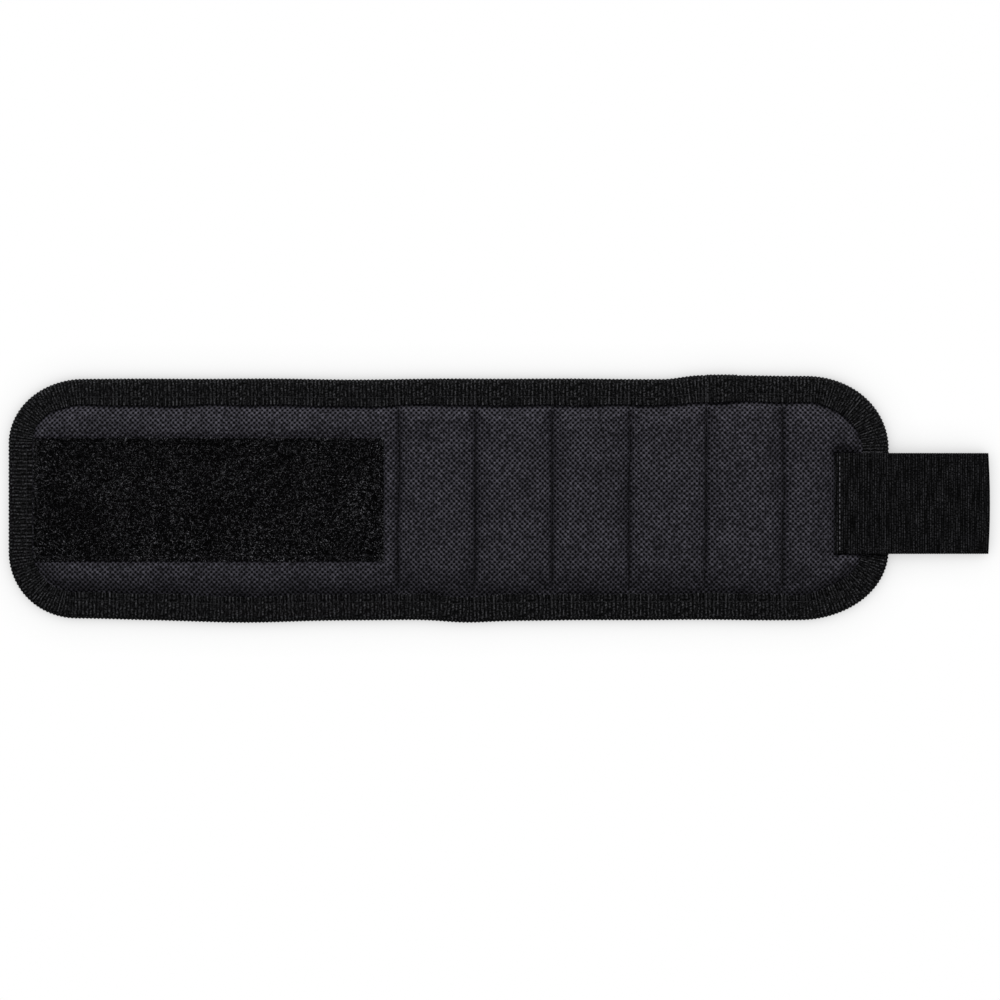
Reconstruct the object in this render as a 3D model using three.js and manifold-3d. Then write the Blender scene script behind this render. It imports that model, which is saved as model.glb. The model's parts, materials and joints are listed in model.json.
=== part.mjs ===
// Magnetic wristband: a padded cloth band with sewn magnet pockets, laid open with its front face up.
// Millimetres. X runs along the band towards the hook tab, Y across it and Z out of the front face.
// The back lining lies on Z = 0, and the origin is under the middle of the whole length.
//
// The cloth is one length on the real band. Here it is parted at every line where the band bends:
// at the six cross seams, and at three places in the long loop section, which has padding but no seam.

import * as THREE from "three";
import { mergeVertices } from "three/addons/utils/BufferGeometryUtils.js";
import Module from "manifold-3d";

const wasm = await Module();
wasm.setup();

// Plan of the band
const BAND_WIDTH = 91;
const LOOP_SECTION = 147; // rounded end to first cross seam
const LOOP_SEGMENTS = 4;
const POCKET_COUNT = 5;
const POCKET_PITCH = 29;
const END_SECTION = 40; // last cross seam to the end that carries the tab
const LOOP_END_RADIUS = 25.5;
const TAB_END_RADIUS = 29.5;

// Layers of cloth and padding
const CLOTH = 0.6;
const LINING = 0.6;
const PAD_RISE = 3.6; // front cloth over the padding, above its level in a seam
const SEAM_FLAT = 1.2; // stretch on each side of a cross seam that the thread pulls flat
const EDGE_FLAT = 1.5; // the same along the binding
const CLEARANCE = 0.3; // between layers that touch

// Edge binding: a tape folded over the rim
const BINDING = 0.6;
const BINDING_WIDTH = 9;
const FOLD_STEPS = 6;

// Magnets, two in each pocket, in recesses of the foam
const MAGNET_LENGTH = 20;
const MAGNET_WIDTH = 12;
const MAGNET_THICKNESS = 2;
const MAGNET_CORNER = 1.5;
const MAGNET_GAP = 14; // between the two magnets of a pocket

// Loop patch: pile on a woven backing
const PATCH_LENGTH = 132;
const PATCH_WIDTH = 46;
const PATCH_THICKNESS = 1.8;
const PATCH_SINK = 0.6; // how far its stitching pulls the padding down
const PATCH_RAMP = 3; // width of the slope round the patch
const PATCH_GAP = 0.6; // from the binding round the end

// Hook tab
const TAB_WIDTH = 38;
const TAB_REACH = 38; // past the end of the band
const TAB_LAP = 18.5; // sewn over the end of the band
const TAB_OFFSET = -1.5; // sewn a little off the middle line
const TAB = 1.2;
const TAB_FLAT = 4; // cloth that the box seam pulls flat around the lap
const TAB_ROLL = 6; // slope of the padding from there
const TAB_RISE_RUN = 2; // the lap climbs on to the binding over this length
const TAB_HINGE_OFF = 0.5; // bend line, out from the rim
const TAB_HINGE_DEPTH = 0.25; // bend line, below the top of the tape
const HOOK_THICKNESS = 1.2;
const HOOK_START = 4; // from the bend line
const HOOK_BORDER = 1;
const TIP_LIFT = 0.2; // hook tips above the table at the free end

// How far the band bends at each kind of line, in degrees
const SEAM_BEND = 41;
const FLEX_BEND_BACK = 6;
const TAB_BEND_DOWN = 42;
const TAB_BEND_UP = 120;
const BEND_PLAY = 0.1; // added to every gap that a bend needs

// Levels in a seam or under the binding, where every layer is pulled flat
const liningLow = BINDING + CLEARANCE;
const clothLow = liningLow + LINING + CLEARANCE;
const clothHigh = clothLow + CLOTH;
const rimHigh = clothHigh + CLEARANCE + BINDING;
const padTop = clothLow + PAD_RISE - CLEARANCE;

// Places along X
const length = LOOP_SECTION + POCKET_COUNT * POCKET_PITCH + END_SECTION + TAB_REACH;
const loopEnd = -length / 2;
const firstSeam = loopEnd + LOOP_SECTION;
const lastSeam = firstSeam + POCKET_COUNT * POCKET_PITCH;
const tabEnd = lastSeam + END_SECTION;
const tip = tabEnd + TAB_REACH;
const segmentLength = LOOP_SECTION / LOOP_SEGMENTS;
const seams = Array.from({ length: POCKET_COUNT + 1 }, (_, i) => firstSeam + i * POCKET_PITCH);
const lapStart = tabEnd - TAB_LAP;
const tabHinge = tabEnd + TAB_HINGE_OFF;
const patchStart = loopEnd + BINDING_WIDTH + PATCH_GAP;
const patchStop = patchStart + PATCH_LENGTH;

// The padding stands at its full height over the magnets, and rolls off from there to the seams and the rim
const halfWidth = BAND_WIDTH / 2;
const magnetCentre = (MAGNET_LENGTH + MAGNET_GAP) / 2;
const magnetReach = magnetCentre + MAGNET_LENGTH / 2;
const edgeRoll = halfWidth - BINDING_WIDTH - EDGE_FLAT - magnetReach;
const seamRoll = (POCKET_PITCH - MAGNET_WIDTH) / 2 - SEAM_FLAT;
const rimFold = rimHigh / 2; // radius of the folded tape; the cloth's own edge lies this far in

const radians = THREE.MathUtils.degToRad;
const bendGap = (depth, degrees) => 2 * depth * Math.tan(radians(degrees / 2)) + BEND_PLAY;
const seamGap = bendGap((clothHigh - liningLow) / 2, SEAM_BEND);
const bindingSeamGap = bendGap(rimHigh / 2, SEAM_BEND);
const patchHigh = clothHigh + PAD_RISE - PATCH_SINK + CLEARANCE + PATCH_THICKNESS;
const flexGap = bendGap(patchHigh, FLEX_BEND_BACK);
const tabGap = Math.max(
  bendGap(TAB - TAB_HINGE_DEPTH, TAB_BEND_DOWN),
  bendGap(TAB_HINGE_DEPTH, TAB_BEND_UP),
);

const MATERIALS = {
  cloth: new THREE.MeshStandardMaterial({ color: 0x2e2d31, roughness: 0.85, metalness: 0 }),
  lining: new THREE.MeshStandardMaterial({ color: 0x232327, roughness: 0.95, metalness: 0 }),
  binding: new THREE.MeshStandardMaterial({ color: 0x19191a, roughness: 0.8, metalness: 0 }),
  loop: new THREE.MeshStandardMaterial({ color: 0x121214, roughness: 1, metalness: 0 }),
  tab: new THREE.MeshStandardMaterial({ color: 0x141416, roughness: 0.75, metalness: 0 }),
  hook: new THREE.MeshStandardMaterial({ color: 0x17171a, roughness: 0.6, metalness: 0 }),
  magnet: new THREE.MeshStandardMaterial({ color: 0xb9b8b2, roughness: 0.3, metalness: 1 }),
};

// Height of the padding

// Quarter sine: steep where the cloth leaves a seam, level where the padding is full.
const roll = (distance, width) => Math.sin((Math.PI / 2) * THREE.MathUtils.clamp(distance / width, 0, 1));

// Distance in from the rim of the band.
function inset(x, y) {
  const fromLoopEnd = x - loopEnd;
  const fromTabEnd = tabEnd - x;
  const [fromEnd, radius] =
    fromLoopEnd < fromTabEnd ? [fromLoopEnd, LOOP_END_RADIUS] : [fromTabEnd, TAB_END_RADIUS];
  const alongX = radius - fromEnd;
  const alongY = Math.abs(y) - (halfWidth - radius);
  if (alongX > 0 && alongY > 0) return radius - Math.hypot(alongX, alongY);
  return Math.min(fromEnd, halfWidth - Math.abs(y));
}

// Distance out from a rectangle in plan, 0 inside it.
function outside(x, y, x0, x1, y0, y1) {
  return Math.hypot(Math.max(x0 - x, x - x1, 0), Math.max(y0 - y, y - y1, 0));
}

// Share of the full padding at a point: 0 in a seam, under the binding and under the tab's lap.
function fullness(x, y) {
  const fromSeam = Math.min(...seams.map((seam) => Math.abs(x - seam)));
  const tabLow = TAB_OFFSET - TAB_WIDTH / 2;
  const fromTab = outside(x, y, lapStart, tabHinge, tabLow, tabLow + TAB_WIDTH);
  return (
    roll(inset(x, y) - BINDING_WIDTH - EDGE_FLAT, edgeRoll) *
    roll(fromSeam - SEAM_FLAT, seamRoll) *
    roll(fromTab - TAB_FLAT, TAB_ROLL)
  );
}

// How far the loop patch's stitching pulls the cloth down, from 0 to 1.
function patchPull(x, y) {
  const away = outside(x, y, patchStart, patchStop, -PATCH_WIDTH / 2, PATCH_WIDTH / 2);
  return 1 - roll(away, PATCH_RAMP);
}

const clothTop = (x, y) => clothHigh + fullness(x, y) * (PAD_RISE - PATCH_SINK * patchPull(x, y));
const clothUnder = (x, y) => clothTop(x, y) - CLOTH;
const foamTop = (x, y) => clothUnder(x, y) - CLEARANCE;
const liningUnder = (x, y) => liningLow * (1 - fullness(x, y));
const patchUnder = (x, y) => clothTop(x, y) + CLEARANCE;
const patchTop = (x, y) => patchUnder(x, y) + PATCH_THICKNESS;

// Solids

// A closed body from points and triangles: points that coincide become one, and triangles that collapse go.
function body(points, triangles) {
  const loose = new THREE.BufferGeometry();
  loose.setAttribute("position", new THREE.Float32BufferAttribute(points.flat(), 3));
  loose.setIndex(triangles.flat());
  const merged = mergeVertices(loose);
  const kept = [];
  for (let i = 0; i < merged.index.count; i += 3) {
    const corners = [0, 1, 2].map((k) => merged.index.getX(i + k));
    if (new Set(corners).size === 3) kept.push(...corners);
  }
  merged.setIndex(kept);
  merged.computeVertexNormals();
  return merged;
}

const quad = (a, b, c, d) => [a, b, c, a, c, d];

// A layer of cloth or foam over a grid of plan points, between two height functions.
// Rows run up in Y, and the points of a row run up in X.
function layer(grid, under, top) {
  const rows = grid.length;
  const columns = grid[0].length;
  const points = [under, top].flatMap((height) => grid.flat().map(([x, y]) => [x, y, height(x, y)]));
  const at = (side, row, column) => (side * rows + row) * columns + column;
  const triangles = [];
  for (let r = 0; r + 1 < rows; r++) {
    for (let c = 0; c + 1 < columns; c++) {
      triangles.push(quad(at(1, r, c), at(1, r, c + 1), at(1, r + 1, c + 1), at(1, r + 1, c)));
      triangles.push(quad(at(0, r, c), at(0, r + 1, c), at(0, r + 1, c + 1), at(0, r, c + 1)));
    }
    const last = columns - 1;
    triangles.push(quad(at(0, r, last), at(0, r + 1, last), at(1, r + 1, last), at(1, r, last)));
    triangles.push(quad(at(0, r + 1, 0), at(0, r, 0), at(1, r, 0), at(1, r + 1, 0)));
  }
  for (let c = 0; c + 1 < columns; c++) {
    const last = rows - 1;
    triangles.push(quad(at(0, 0, c), at(0, 0, c + 1), at(1, 0, c + 1), at(1, 0, c)));
    triangles.push(quad(at(0, last, c + 1), at(0, last, c), at(1, last, c), at(1, last, c + 1)));
  }
  return body(points, triangles);
}

// A section of [inset, z] points, anticlockwise, carried along stations on the rim. Each station has its
// place and the direction that leads in from the rim.
function sweep(section, stations) {
  const sides = section.length;
  const points = stations.flatMap(({ x, y, inX, inY }) =>
    section.map(([into, z]) => [x + inX * into, y + inY * into, z]),
  );
  const at = (station, side) => station * sides + (side % sides);
  const triangles = [];
  for (let s = 0; s + 1 < stations.length; s++)
    for (let k = 0; k < sides; k++)
      triangles.push(quad(at(s, k), at(s, k + 1), at(s + 1, k + 1), at(s + 1, k)));
  const cap = THREE.ShapeUtils.triangulateShape(section.map(([into, z]) => new THREE.Vector2(into, z)), []);
  for (const [a, b, c] of cap) {
    triangles.push([c, b, a]);
    triangles.push([a, b, c].map((corner) => at(stations.length - 1, corner)));
  }
  return body(points, triangles);
}

// A strip across the band from low to high Y, with an outline of [x, z] points, anticlockwise with X right.
function strip(outline, low, high) {
  const shape = new THREE.Shape(outline.map(([x, z]) => new THREE.Vector2(x, z)));
  const made = new THREE.ExtrudeGeometry(shape, { depth: high - low, bevelEnabled: false });
  return made.rotateX(Math.PI / 2).translate(0, high, 0);
}

// A flat plate with rounded corners, centred in plan, from low to high Z.
function plate(sizeX, sizeY, corner, low, high) {
  const [x, y] = [sizeX / 2 - corner, sizeY / 2 - corner];
  const shape = new THREE.Shape()
    .absarc(x, y, corner, 0, Math.PI / 2)
    .absarc(-x, y, corner, Math.PI / 2, Math.PI)
    .absarc(-x, -y, corner, Math.PI, 1.5 * Math.PI)
    .absarc(x, -y, corner, 1.5 * Math.PI, 2 * Math.PI);
  const made = new THREE.ExtrudeGeometry(shape, { depth: high - low, bevelEnabled: false, curveSegments: 2 });
  return made.translate(0, 0, low);
}

// What is left of a geometry once others are cut out of it.
function cut(geometry, ...cutters) {
  const solid = (source) => {
    const bare = new THREE.BufferGeometry();
    bare.setAttribute("position", source.getAttribute("position"));
    bare.setIndex(source.index);
    const merged = mergeVertices(bare);
    return new wasm.Manifold(
      new wasm.Mesh({
        numProp: 3,
        vertProperties: merged.getAttribute("position").array,
        triVerts: new Uint32Array(merged.index.array),
      }),
    );
  };
  const mesh = cutters.reduce((left, cutter) => left.subtract(solid(cutter)), solid(geometry)).getMesh();
  const made = new THREE.BufferGeometry();
  made.setAttribute("position", new THREE.BufferAttribute(mesh.vertProperties, 3));
  made.setIndex(new THREE.BufferAttribute(mesh.triVerts, 1));
  made.computeVertexNormals();
  return made;
}

// Plan grids

const ROLL_SHARES = [0, 0.25, 0.55, 1]; // where a roll of padding is sampled
const ARC_STEPS = 6; // along a rounded corner

const ascending = (values) => [...new Set(values)].sort((a, b) => a - b);

// Insets that a layer is sampled at across the band: its own edge, the binding, the roll, the patch's slope.
const rollInsets = ROLL_SHARES.map((share) => BINDING_WIDTH + EDGE_FLAT + share * edgeRoll);
const plainInsets = [rimFold, BINDING_WIDTH, ...rollInsets];
const patchInsets = [PATCH_RAMP, 0].map((away) => halfWidth - PATCH_WIDTH / 2 - away);
const loopInsets = ascending([...plainInsets, ...patchInsets]);

// Half the width of the band at a distance from a rounded end, counted from the rim drawn in by an inset.
function widthAt(fromEnd, into, radius) {
  if (into >= radius || fromEnd >= radius) return halfWidth - into;
  if (fromEnd <= into) return halfWidth - radius;
  return halfWidth - radius + Math.sqrt((radius - into) ** 2 - (radius - fromEnd) ** 2);
}

// Rows of plan points for a layer of the band. fromEnd gives a point's distance from the nearer rounded end.
function planGrid(xs, insets, fromEnd, radius) {
  const lower = insets.map((into) => xs.map((x) => [x, -widthAt(fromEnd(x), into, radius)]));
  const upper = insets.map((into) => xs.map((x) => [x, widthAt(fromEnd(x), into, radius)]));
  return [...lower, ...upper.reverse()];
}

// Distances from a rounded end that its corner, its binding and its roll are sampled at.
function endDistances(insets, radius) {
  const corner = radius - rimFold;
  const arc = Array.from({ length: ARC_STEPS + 1 }, (_, i) => {
    return radius - corner * Math.cos((Math.PI / 2) * (i / ARC_STEPS));
  });
  return ascending([...insets.filter((into) => into < radius), ...arc]);
}

// Distances from a cross seam that its roll is sampled at.
const seamDistances = [seamGap / 2, ...ROLL_SHARES.map((share) => SEAM_FLAT + share * seamRoll)];

// Folded tape

const arcPoint = (radius, angle) => [
  rimFold + radius * Math.cos(angle),
  rimHigh / 2 + radius * Math.sin(angle),
];
const foldAngles = Array.from({ length: FOLD_STEPS + 1 }, (_, i) => Math.PI * (0.5 + i / FOLD_STEPS));
const tapeSection = [
  [BINDING_WIDTH, rimHigh],
  ...foldAngles.map((angle) => arcPoint(rimFold, angle)),
  [BINDING_WIDTH, 0],
  [BINDING_WIDTH, BINDING],
  ...foldAngles.toReversed().map((angle) => arcPoint(rimFold - BINDING, angle)),
  [BINDING_WIDTH, rimHigh - BINDING],
];

const topEdge = (x) => ({ x, y: halfWidth, inX: 0, inY: -1 });
const bottomEdge = (x) => ({ x, y: -halfWidth, inX: 0, inY: 1 });

// Tape along the two straight edges between two places.
const topTape = (x0, x1) => sweep(tapeSection, [topEdge(x1), topEdge(x0)]);
const bottomTape = (x0, x1) => sweep(tapeSection, [bottomEdge(x0), bottomEdge(x1)]);

// Stations round a quarter of a rounded corner, from one angle of the outward direction to the next.
function cornerStations(x, y, radius, startAngle) {
  return Array.from({ length: ARC_STEPS + 1 }, (_, i) => {
    const angle = startAngle + (Math.PI / 2) * (i / ARC_STEPS);
    const [outX, outY] = [Math.cos(angle), Math.sin(angle)];
    return { x: x + radius * outX, y: y + radius * outY, inX: -outX, inY: -outY };
  });
}

// Tape round the loop end, from the top edge to the bottom edge.
function loopEndTape(x) {
  const [cornerX, cornerY] = [loopEnd + LOOP_END_RADIUS, halfWidth - LOOP_END_RADIUS];
  return sweep(tapeSection, [
    topEdge(x),
    ...cornerStations(cornerX, cornerY, LOOP_END_RADIUS, Math.PI / 2),
    ...cornerStations(cornerX, -cornerY, LOOP_END_RADIUS, Math.PI),
    bottomEdge(x),
  ]);
}

// Tape round the tab end, from the bottom edge to the top edge.
function tabEndTape(x) {
  const [cornerX, cornerY] = [tabEnd - TAB_END_RADIUS, halfWidth - TAB_END_RADIUS];
  return sweep(tapeSection, [
    bottomEdge(x),
    ...cornerStations(cornerX, -cornerY, TAB_END_RADIUS, 1.5 * Math.PI),
    ...cornerStations(cornerX, cornerY, TAB_END_RADIUS, 0),
    topEdge(x),
  ]);
}

// Assembly

const wristband = new THREE.Group();

function section(name) {
  const group = new THREE.Group();
  group.name = name;
  wristband.add(group);
  return group;
}

function piece(group, name, geometry, material) {
  const mesh = new THREE.Mesh(geometry, material);
  mesh.name = name;
  group.add(mesh);
  return mesh;
}

// One length of the loop section, with its share of the loop patch.
function addLoopSegment(number) {
  const group = section(`loop_section_${number}`);
  const start = loopEnd + (number - 1) * segmentLength;
  const stop = start + segmentLength;
  const atEnd = number === 1;
  const atSeam = number === LOOP_SEGMENTS;
  const fromEnd = (x) => x - loopEnd;

  const startCut = start + flexGap / 2;
  const startXs = atEnd
    ? endDistances(loopInsets, LOOP_END_RADIUS).map((distance) => loopEnd + distance)
    : [startCut];
  const stopXs = atSeam ? seamDistances.map((distance) => stop - distance) : [stop - flexGap / 2];
  const slopeXs = [patchStop, patchStop + PATCH_RAMP].filter((x) => x > start && x < stop - seamDistances[0]);
  const xs = ascending([...startXs, ...slopeXs, ...stopXs]);
  const grid = planGrid(xs, loopInsets, fromEnd, LOOP_END_RADIUS);
  piece(group, `loop_section_front_${number}`, layer(grid, clothUnder, clothTop), MATERIALS.cloth);
  piece(group, `loop_section_back_pad_${number}`, layer(grid, liningUnder, foamTop), MATERIALS.lining);

  const patchFrom = Math.max(startCut, patchStart);
  const patchTo = Math.min(stop - flexGap / 2, patchStop);
  const patchXs = [patchFrom, ...xs.filter((x) => x > patchFrom && x < patchTo), patchTo];
  const patchSide = PATCH_WIDTH / 2;
  const clothYs = [...loopInsets, LOOP_END_RADIUS].map((into) => halfWidth - into);
  const innerYs = clothYs.filter((y) => y > 0 && y < patchSide);
  const patchYs = ascending([...innerYs, patchSide].flatMap((y) => [-y, y]));
  const patchGrid = patchYs.map((y) => patchXs.map((x) => [x, y]));
  piece(group, `loop_patch_${number}`, layer(patchGrid, patchUnder, patchTop), MATERIALS.loop);

  const tapeStop = stop - (atSeam ? bindingSeamGap : flexGap) / 2;
  if (atEnd) {
    piece(group, "binding_loop_end", loopEndTape(tapeStop), MATERIALS.binding);
  } else {
    piece(group, `binding_loop_top_${number}`, topTape(startCut, tapeStop), MATERIALS.binding);
    piece(group, `binding_loop_bottom_${number}`, bottomTape(startCut, tapeStop), MATERIALS.binding);
  }
}

// One magnet pocket between two cross seams.
function addPocket(number) {
  const group = section(`pocket_${number}`);
  const start = seams[number - 1];
  const stop = seams[number];
  const middle = (start + stop) / 2;

  const xs = ascending(seamDistances.flatMap((distance) => [start + distance, stop - distance]));
  const grid = planGrid(xs, plainInsets, () => Infinity, 0);
  piece(group, `pocket_front_${number}`, layer(grid, clothUnder, clothTop), MATERIALS.cloth);

  const magnetLow = padTop - MAGNET_THICKNESS;
  const magnet = plate(MAGNET_WIDTH, MAGNET_LENGTH, MAGNET_CORNER, magnetLow, padTop);
  const places = { upper: magnetCentre, lower: -magnetCentre };
  const recesses = Object.values(places).map((y) =>
    plate(
      MAGNET_WIDTH + 2 * CLEARANCE,
      MAGNET_LENGTH + 2 * CLEARANCE,
      MAGNET_CORNER + CLEARANCE,
      magnetLow - CLEARANCE,
      padTop + CLEARANCE,
    ).translate(middle, y, 0),
  );
  const pad = cut(layer(grid, liningUnder, foamTop), ...recesses);
  piece(group, `pocket_back_pad_${number}`, pad, MATERIALS.lining);
  for (const [place, y] of Object.entries(places))
    piece(group, `magnet_${place}_${number}`, magnet, MATERIALS.magnet).position.set(middle, y, 0);

  const [tapeStart, tapeStop] = [start + bindingSeamGap / 2, stop - bindingSeamGap / 2];
  piece(group, `binding_pocket_top_${number}`, topTape(tapeStart, tapeStop), MATERIALS.binding);
  piece(group, `binding_pocket_bottom_${number}`, bottomTape(tapeStart, tapeStop), MATERIALS.binding);
}

// The rounded end that carries the tab, with the tab's sewn lap.
function addEndPanel() {
  const group = section("end_panel");
  const fromEnd = (x) => tabEnd - x;
  const flatInsets = [-0.5, 0, 1].map((share) => TAB_LAP + share * TAB_FLAT);
  const slopeInsets = [0.5, 1].map((share) => TAB_LAP + TAB_FLAT + share * TAB_ROLL);
  const insets = ascending([...plainInsets, ...flatInsets, ...slopeInsets]);
  const endXs = endDistances(insets, TAB_END_RADIUS).map((distance) => tabEnd - distance);
  const seamXs = seamDistances.map((distance) => lastSeam + distance);
  const grid = planGrid(ascending([...seamXs, ...endXs]), insets, fromEnd, TAB_END_RADIUS);
  piece(group, "end_front", layer(grid, clothUnder, clothTop), MATERIALS.cloth);
  piece(group, "end_back_pad", layer(grid, liningUnder, foamTop), MATERIALS.lining);
  piece(group, "binding_tab_end", tabEndTape(lastSeam + bindingSeamGap / 2), MATERIALS.binding);

  const onCloth = clothHigh + CLEARANCE;
  const onBinding = rimHigh + CLEARANCE;
  const climbStop = tabEnd - BINDING_WIDTH - CLEARANCE;
  const climbStart = climbStop - TAB_RISE_RUN;
  const lapStop = tabHinge - tabGap / 2;
  const underside = [
    [lapStart, onCloth],
    [climbStart, onCloth],
    [climbStop, onBinding],
    [lapStop, onBinding],
  ];
  const topside = underside.toReversed().map(([x, z]) => [x, z + TAB]);
  const low = TAB_OFFSET - TAB_WIDTH / 2;
  piece(group, "tab_lap", strip([...underside, ...topside], low, low + TAB_WIDTH), MATERIALS.tab);
}

// The free flap of the tab, with the hooks on its underside. It hangs a little towards the table.
function addTab() {
  const group = section("tab");
  const rootUnder = rimHigh + CLEARANCE;
  const tipUnder = TIP_LIFT + HOOK_THICKNESS + CLEARANCE;
  const flapStart = tabHinge + tabGap / 2;
  const flapUnder = (x) => THREE.MathUtils.mapLinear(x, flapStart, tip, rootUnder, tipUnder);
  const slab = (x0, x1, rise, thickness) => [
    [x0, flapUnder(x0) + rise],
    [x1, flapUnder(x1) + rise],
    [x1, flapUnder(x1) + rise + thickness],
    [x0, flapUnder(x0) + rise + thickness],
  ];
  const low = TAB_OFFSET - TAB_WIDTH / 2;
  const high = low + TAB_WIDTH;
  piece(group, "tab_flap", strip(slab(flapStart, tip, 0, TAB), low, high), MATERIALS.tab);
  const hooks = slab(tabHinge + HOOK_START, tip - HOOK_BORDER, -CLEARANCE - HOOK_THICKNESS, HOOK_THICKNESS);
  piece(group, "hook_patch", strip(hooks, low + HOOK_BORDER, high - HOOK_BORDER), MATERIALS.hook);
}

for (let number = 1; number <= LOOP_SEGMENTS; number++) addLoopSegment(number);
for (let number = 1; number <= POCKET_COUNT; number++) addPocket(number);
addEndPanel();
addTab();

export default wristband;
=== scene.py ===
# %% [markdown]
# # A magnetic wristband, from solids to cloth
# The band is a long quilted strip. A tough woven front and a soft knit back hold a sheet of foam,
# seams across the band make pockets for small magnets, and a ribbed tape is folded over the rim.
# One end carries a fuzzy loop patch, and the other a ribbed tab with hooks under it.
# The CAD solids come first, because they say where each seam and each bend line lies.
# Every piece below is fitted to them, in metres and in the same frame.

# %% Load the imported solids
import json
import math
import bpy
import numpy as np
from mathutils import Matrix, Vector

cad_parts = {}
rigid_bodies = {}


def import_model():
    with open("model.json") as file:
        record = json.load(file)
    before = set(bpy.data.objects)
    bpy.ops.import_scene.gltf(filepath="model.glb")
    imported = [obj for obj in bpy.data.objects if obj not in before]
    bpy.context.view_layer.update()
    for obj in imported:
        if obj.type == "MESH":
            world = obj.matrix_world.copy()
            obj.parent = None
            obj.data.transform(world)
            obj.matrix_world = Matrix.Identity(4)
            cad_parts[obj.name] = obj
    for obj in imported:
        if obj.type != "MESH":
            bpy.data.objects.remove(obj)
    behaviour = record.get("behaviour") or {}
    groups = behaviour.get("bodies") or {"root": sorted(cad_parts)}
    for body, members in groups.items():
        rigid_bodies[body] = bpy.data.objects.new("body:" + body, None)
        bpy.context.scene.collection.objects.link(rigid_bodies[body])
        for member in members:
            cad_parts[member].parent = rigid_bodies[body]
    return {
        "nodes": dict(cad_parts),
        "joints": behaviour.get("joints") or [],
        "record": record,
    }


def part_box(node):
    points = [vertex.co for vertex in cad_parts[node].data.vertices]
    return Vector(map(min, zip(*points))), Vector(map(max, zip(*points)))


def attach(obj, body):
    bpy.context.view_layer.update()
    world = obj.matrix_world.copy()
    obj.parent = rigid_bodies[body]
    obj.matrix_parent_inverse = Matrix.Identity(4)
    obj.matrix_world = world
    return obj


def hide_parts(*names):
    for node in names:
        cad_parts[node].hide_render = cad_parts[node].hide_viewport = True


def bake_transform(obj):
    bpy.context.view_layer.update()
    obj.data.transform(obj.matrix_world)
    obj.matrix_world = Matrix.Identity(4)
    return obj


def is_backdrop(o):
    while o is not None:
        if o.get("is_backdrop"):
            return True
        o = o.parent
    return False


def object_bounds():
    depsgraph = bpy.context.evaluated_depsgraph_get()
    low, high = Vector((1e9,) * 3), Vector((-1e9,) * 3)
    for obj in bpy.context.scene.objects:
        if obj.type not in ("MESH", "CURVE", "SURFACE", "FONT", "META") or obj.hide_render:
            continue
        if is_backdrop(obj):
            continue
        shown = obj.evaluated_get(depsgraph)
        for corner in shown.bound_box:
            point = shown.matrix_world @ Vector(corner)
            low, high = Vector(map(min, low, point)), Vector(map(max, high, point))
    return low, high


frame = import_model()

cad_low, cad_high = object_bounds()
print("solids:", len(frame["nodes"]), "from", list(cad_low), "to", list(cad_high))

# %% [markdown]
# ## Where the band bends
# The real band is one strip of cloth that bends at its sewn lines. The model has a body for each
# stretch between two lines. A Blender piece can bend across one line only, so the strip is cut in
# the middle of each stretch: every piece then has just one bend line in it, and the cuts lie where
# nothing moves. All lengths in this lesson are written in millimetres.

# %% Bend lines, cuts and the rim, read from the solids
MM = 0.001
BODIES = ["loop_1", "loop_2", "loop_3", "loop_4", "pocket_1", "pocket_2", "pocket_3",
          "pocket_4", "pocket_5", "end_panel", "tab"]
joint_of = {frozenset((joint["parent"], joint["child"])): joint for joint in frame["joints"]}
bend_x = [joint_of[frozenset(pair)]["pos_m"][0] / MM for pair in zip(BODIES, BODIES[1:])]
tab_bend_x = bend_x.pop()
seam_x = bend_x[3:]


def box_mm(node):
    """The lowest and highest corner of a CAD node, in millimetres."""
    low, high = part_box(node)
    return np.array(low) / MM, np.array(high) / MM


loop_rim_low, loop_rim_high = box_mm("binding_loop_end")
top_tape_low, top_tape_high = box_mm("binding_pocket_top_1")
BAND_START = loop_rim_low[0]
BAND_END = box_mm("binding_tab_end")[1][0]
HALF_WIDTH = loop_rim_high[1]
RIM_HIGH = top_tape_high[2]
TAPE_WIDTH = top_tape_high[1] - top_tape_low[1]
middles = [(a + b) / 2 for a, b in zip(bend_x, bend_x[1:])]
cut_x = [BAND_START, *middles, BAND_END]
print("cuts:", np.round(cut_x, 2), "tape:", round(TAPE_WIDTH, 2))

# %% [markdown]
# ## The camera
# The photograph looks straight down on the band, which fills almost the whole width of the
# picture. A long lens keeps the perspective as weak as it is there. Its height follows from the
# width of the picture on the table, and it is measured from the rim, where the outline is.

# %% Camera
PICTURE_WIDTH = 377.36
PICTURE_MIDDLE = (0.38, -0.19)
LENS = 100
SENSOR = 36
camera_data = bpy.data.cameras.new("straight_down")
camera_data.lens = LENS
camera_data.sensor_width = SENSOR
camera = bpy.data.objects.new("straight_down", camera_data)
bpy.context.collection.objects.link(camera)
camera_height = PICTURE_WIDTH * LENS / SENSOR + RIM_HIGH / 2
camera.location = np.array([*PICTURE_MIDDLE, camera_height]) * MM
bpy.context.scene.camera = camera
print("camera height:", round(camera_height, 1), "mm")

# %% [markdown]
# ## Studio light
# One wide lamp beyond the upper edge of the band lights the cloth softly, and the world fills the
# shadows. The pillows of the quilt show because the lamp is off to one side. Only rays from the
# camera and reflections see the white backdrop, so the white adds no light to the cloth.

# %% Node helper
def add(tree, kind, inputs=(), **settings):
    """Adds a node. An input is a value, a socket, or a node, which stands for its first output."""
    made = tree.nodes.new(kind)
    for name, value in settings.items():
        setattr(made, name, value)
    for socket, value in dict(inputs).items():
        if isinstance(value, bpy.types.Node):
            value = value.outputs[0]
        if isinstance(value, bpy.types.NodeSocket):
            tree.links.new(value, made.inputs[socket])
        else:
            made.inputs[socket].default_value = value
    return made


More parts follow.
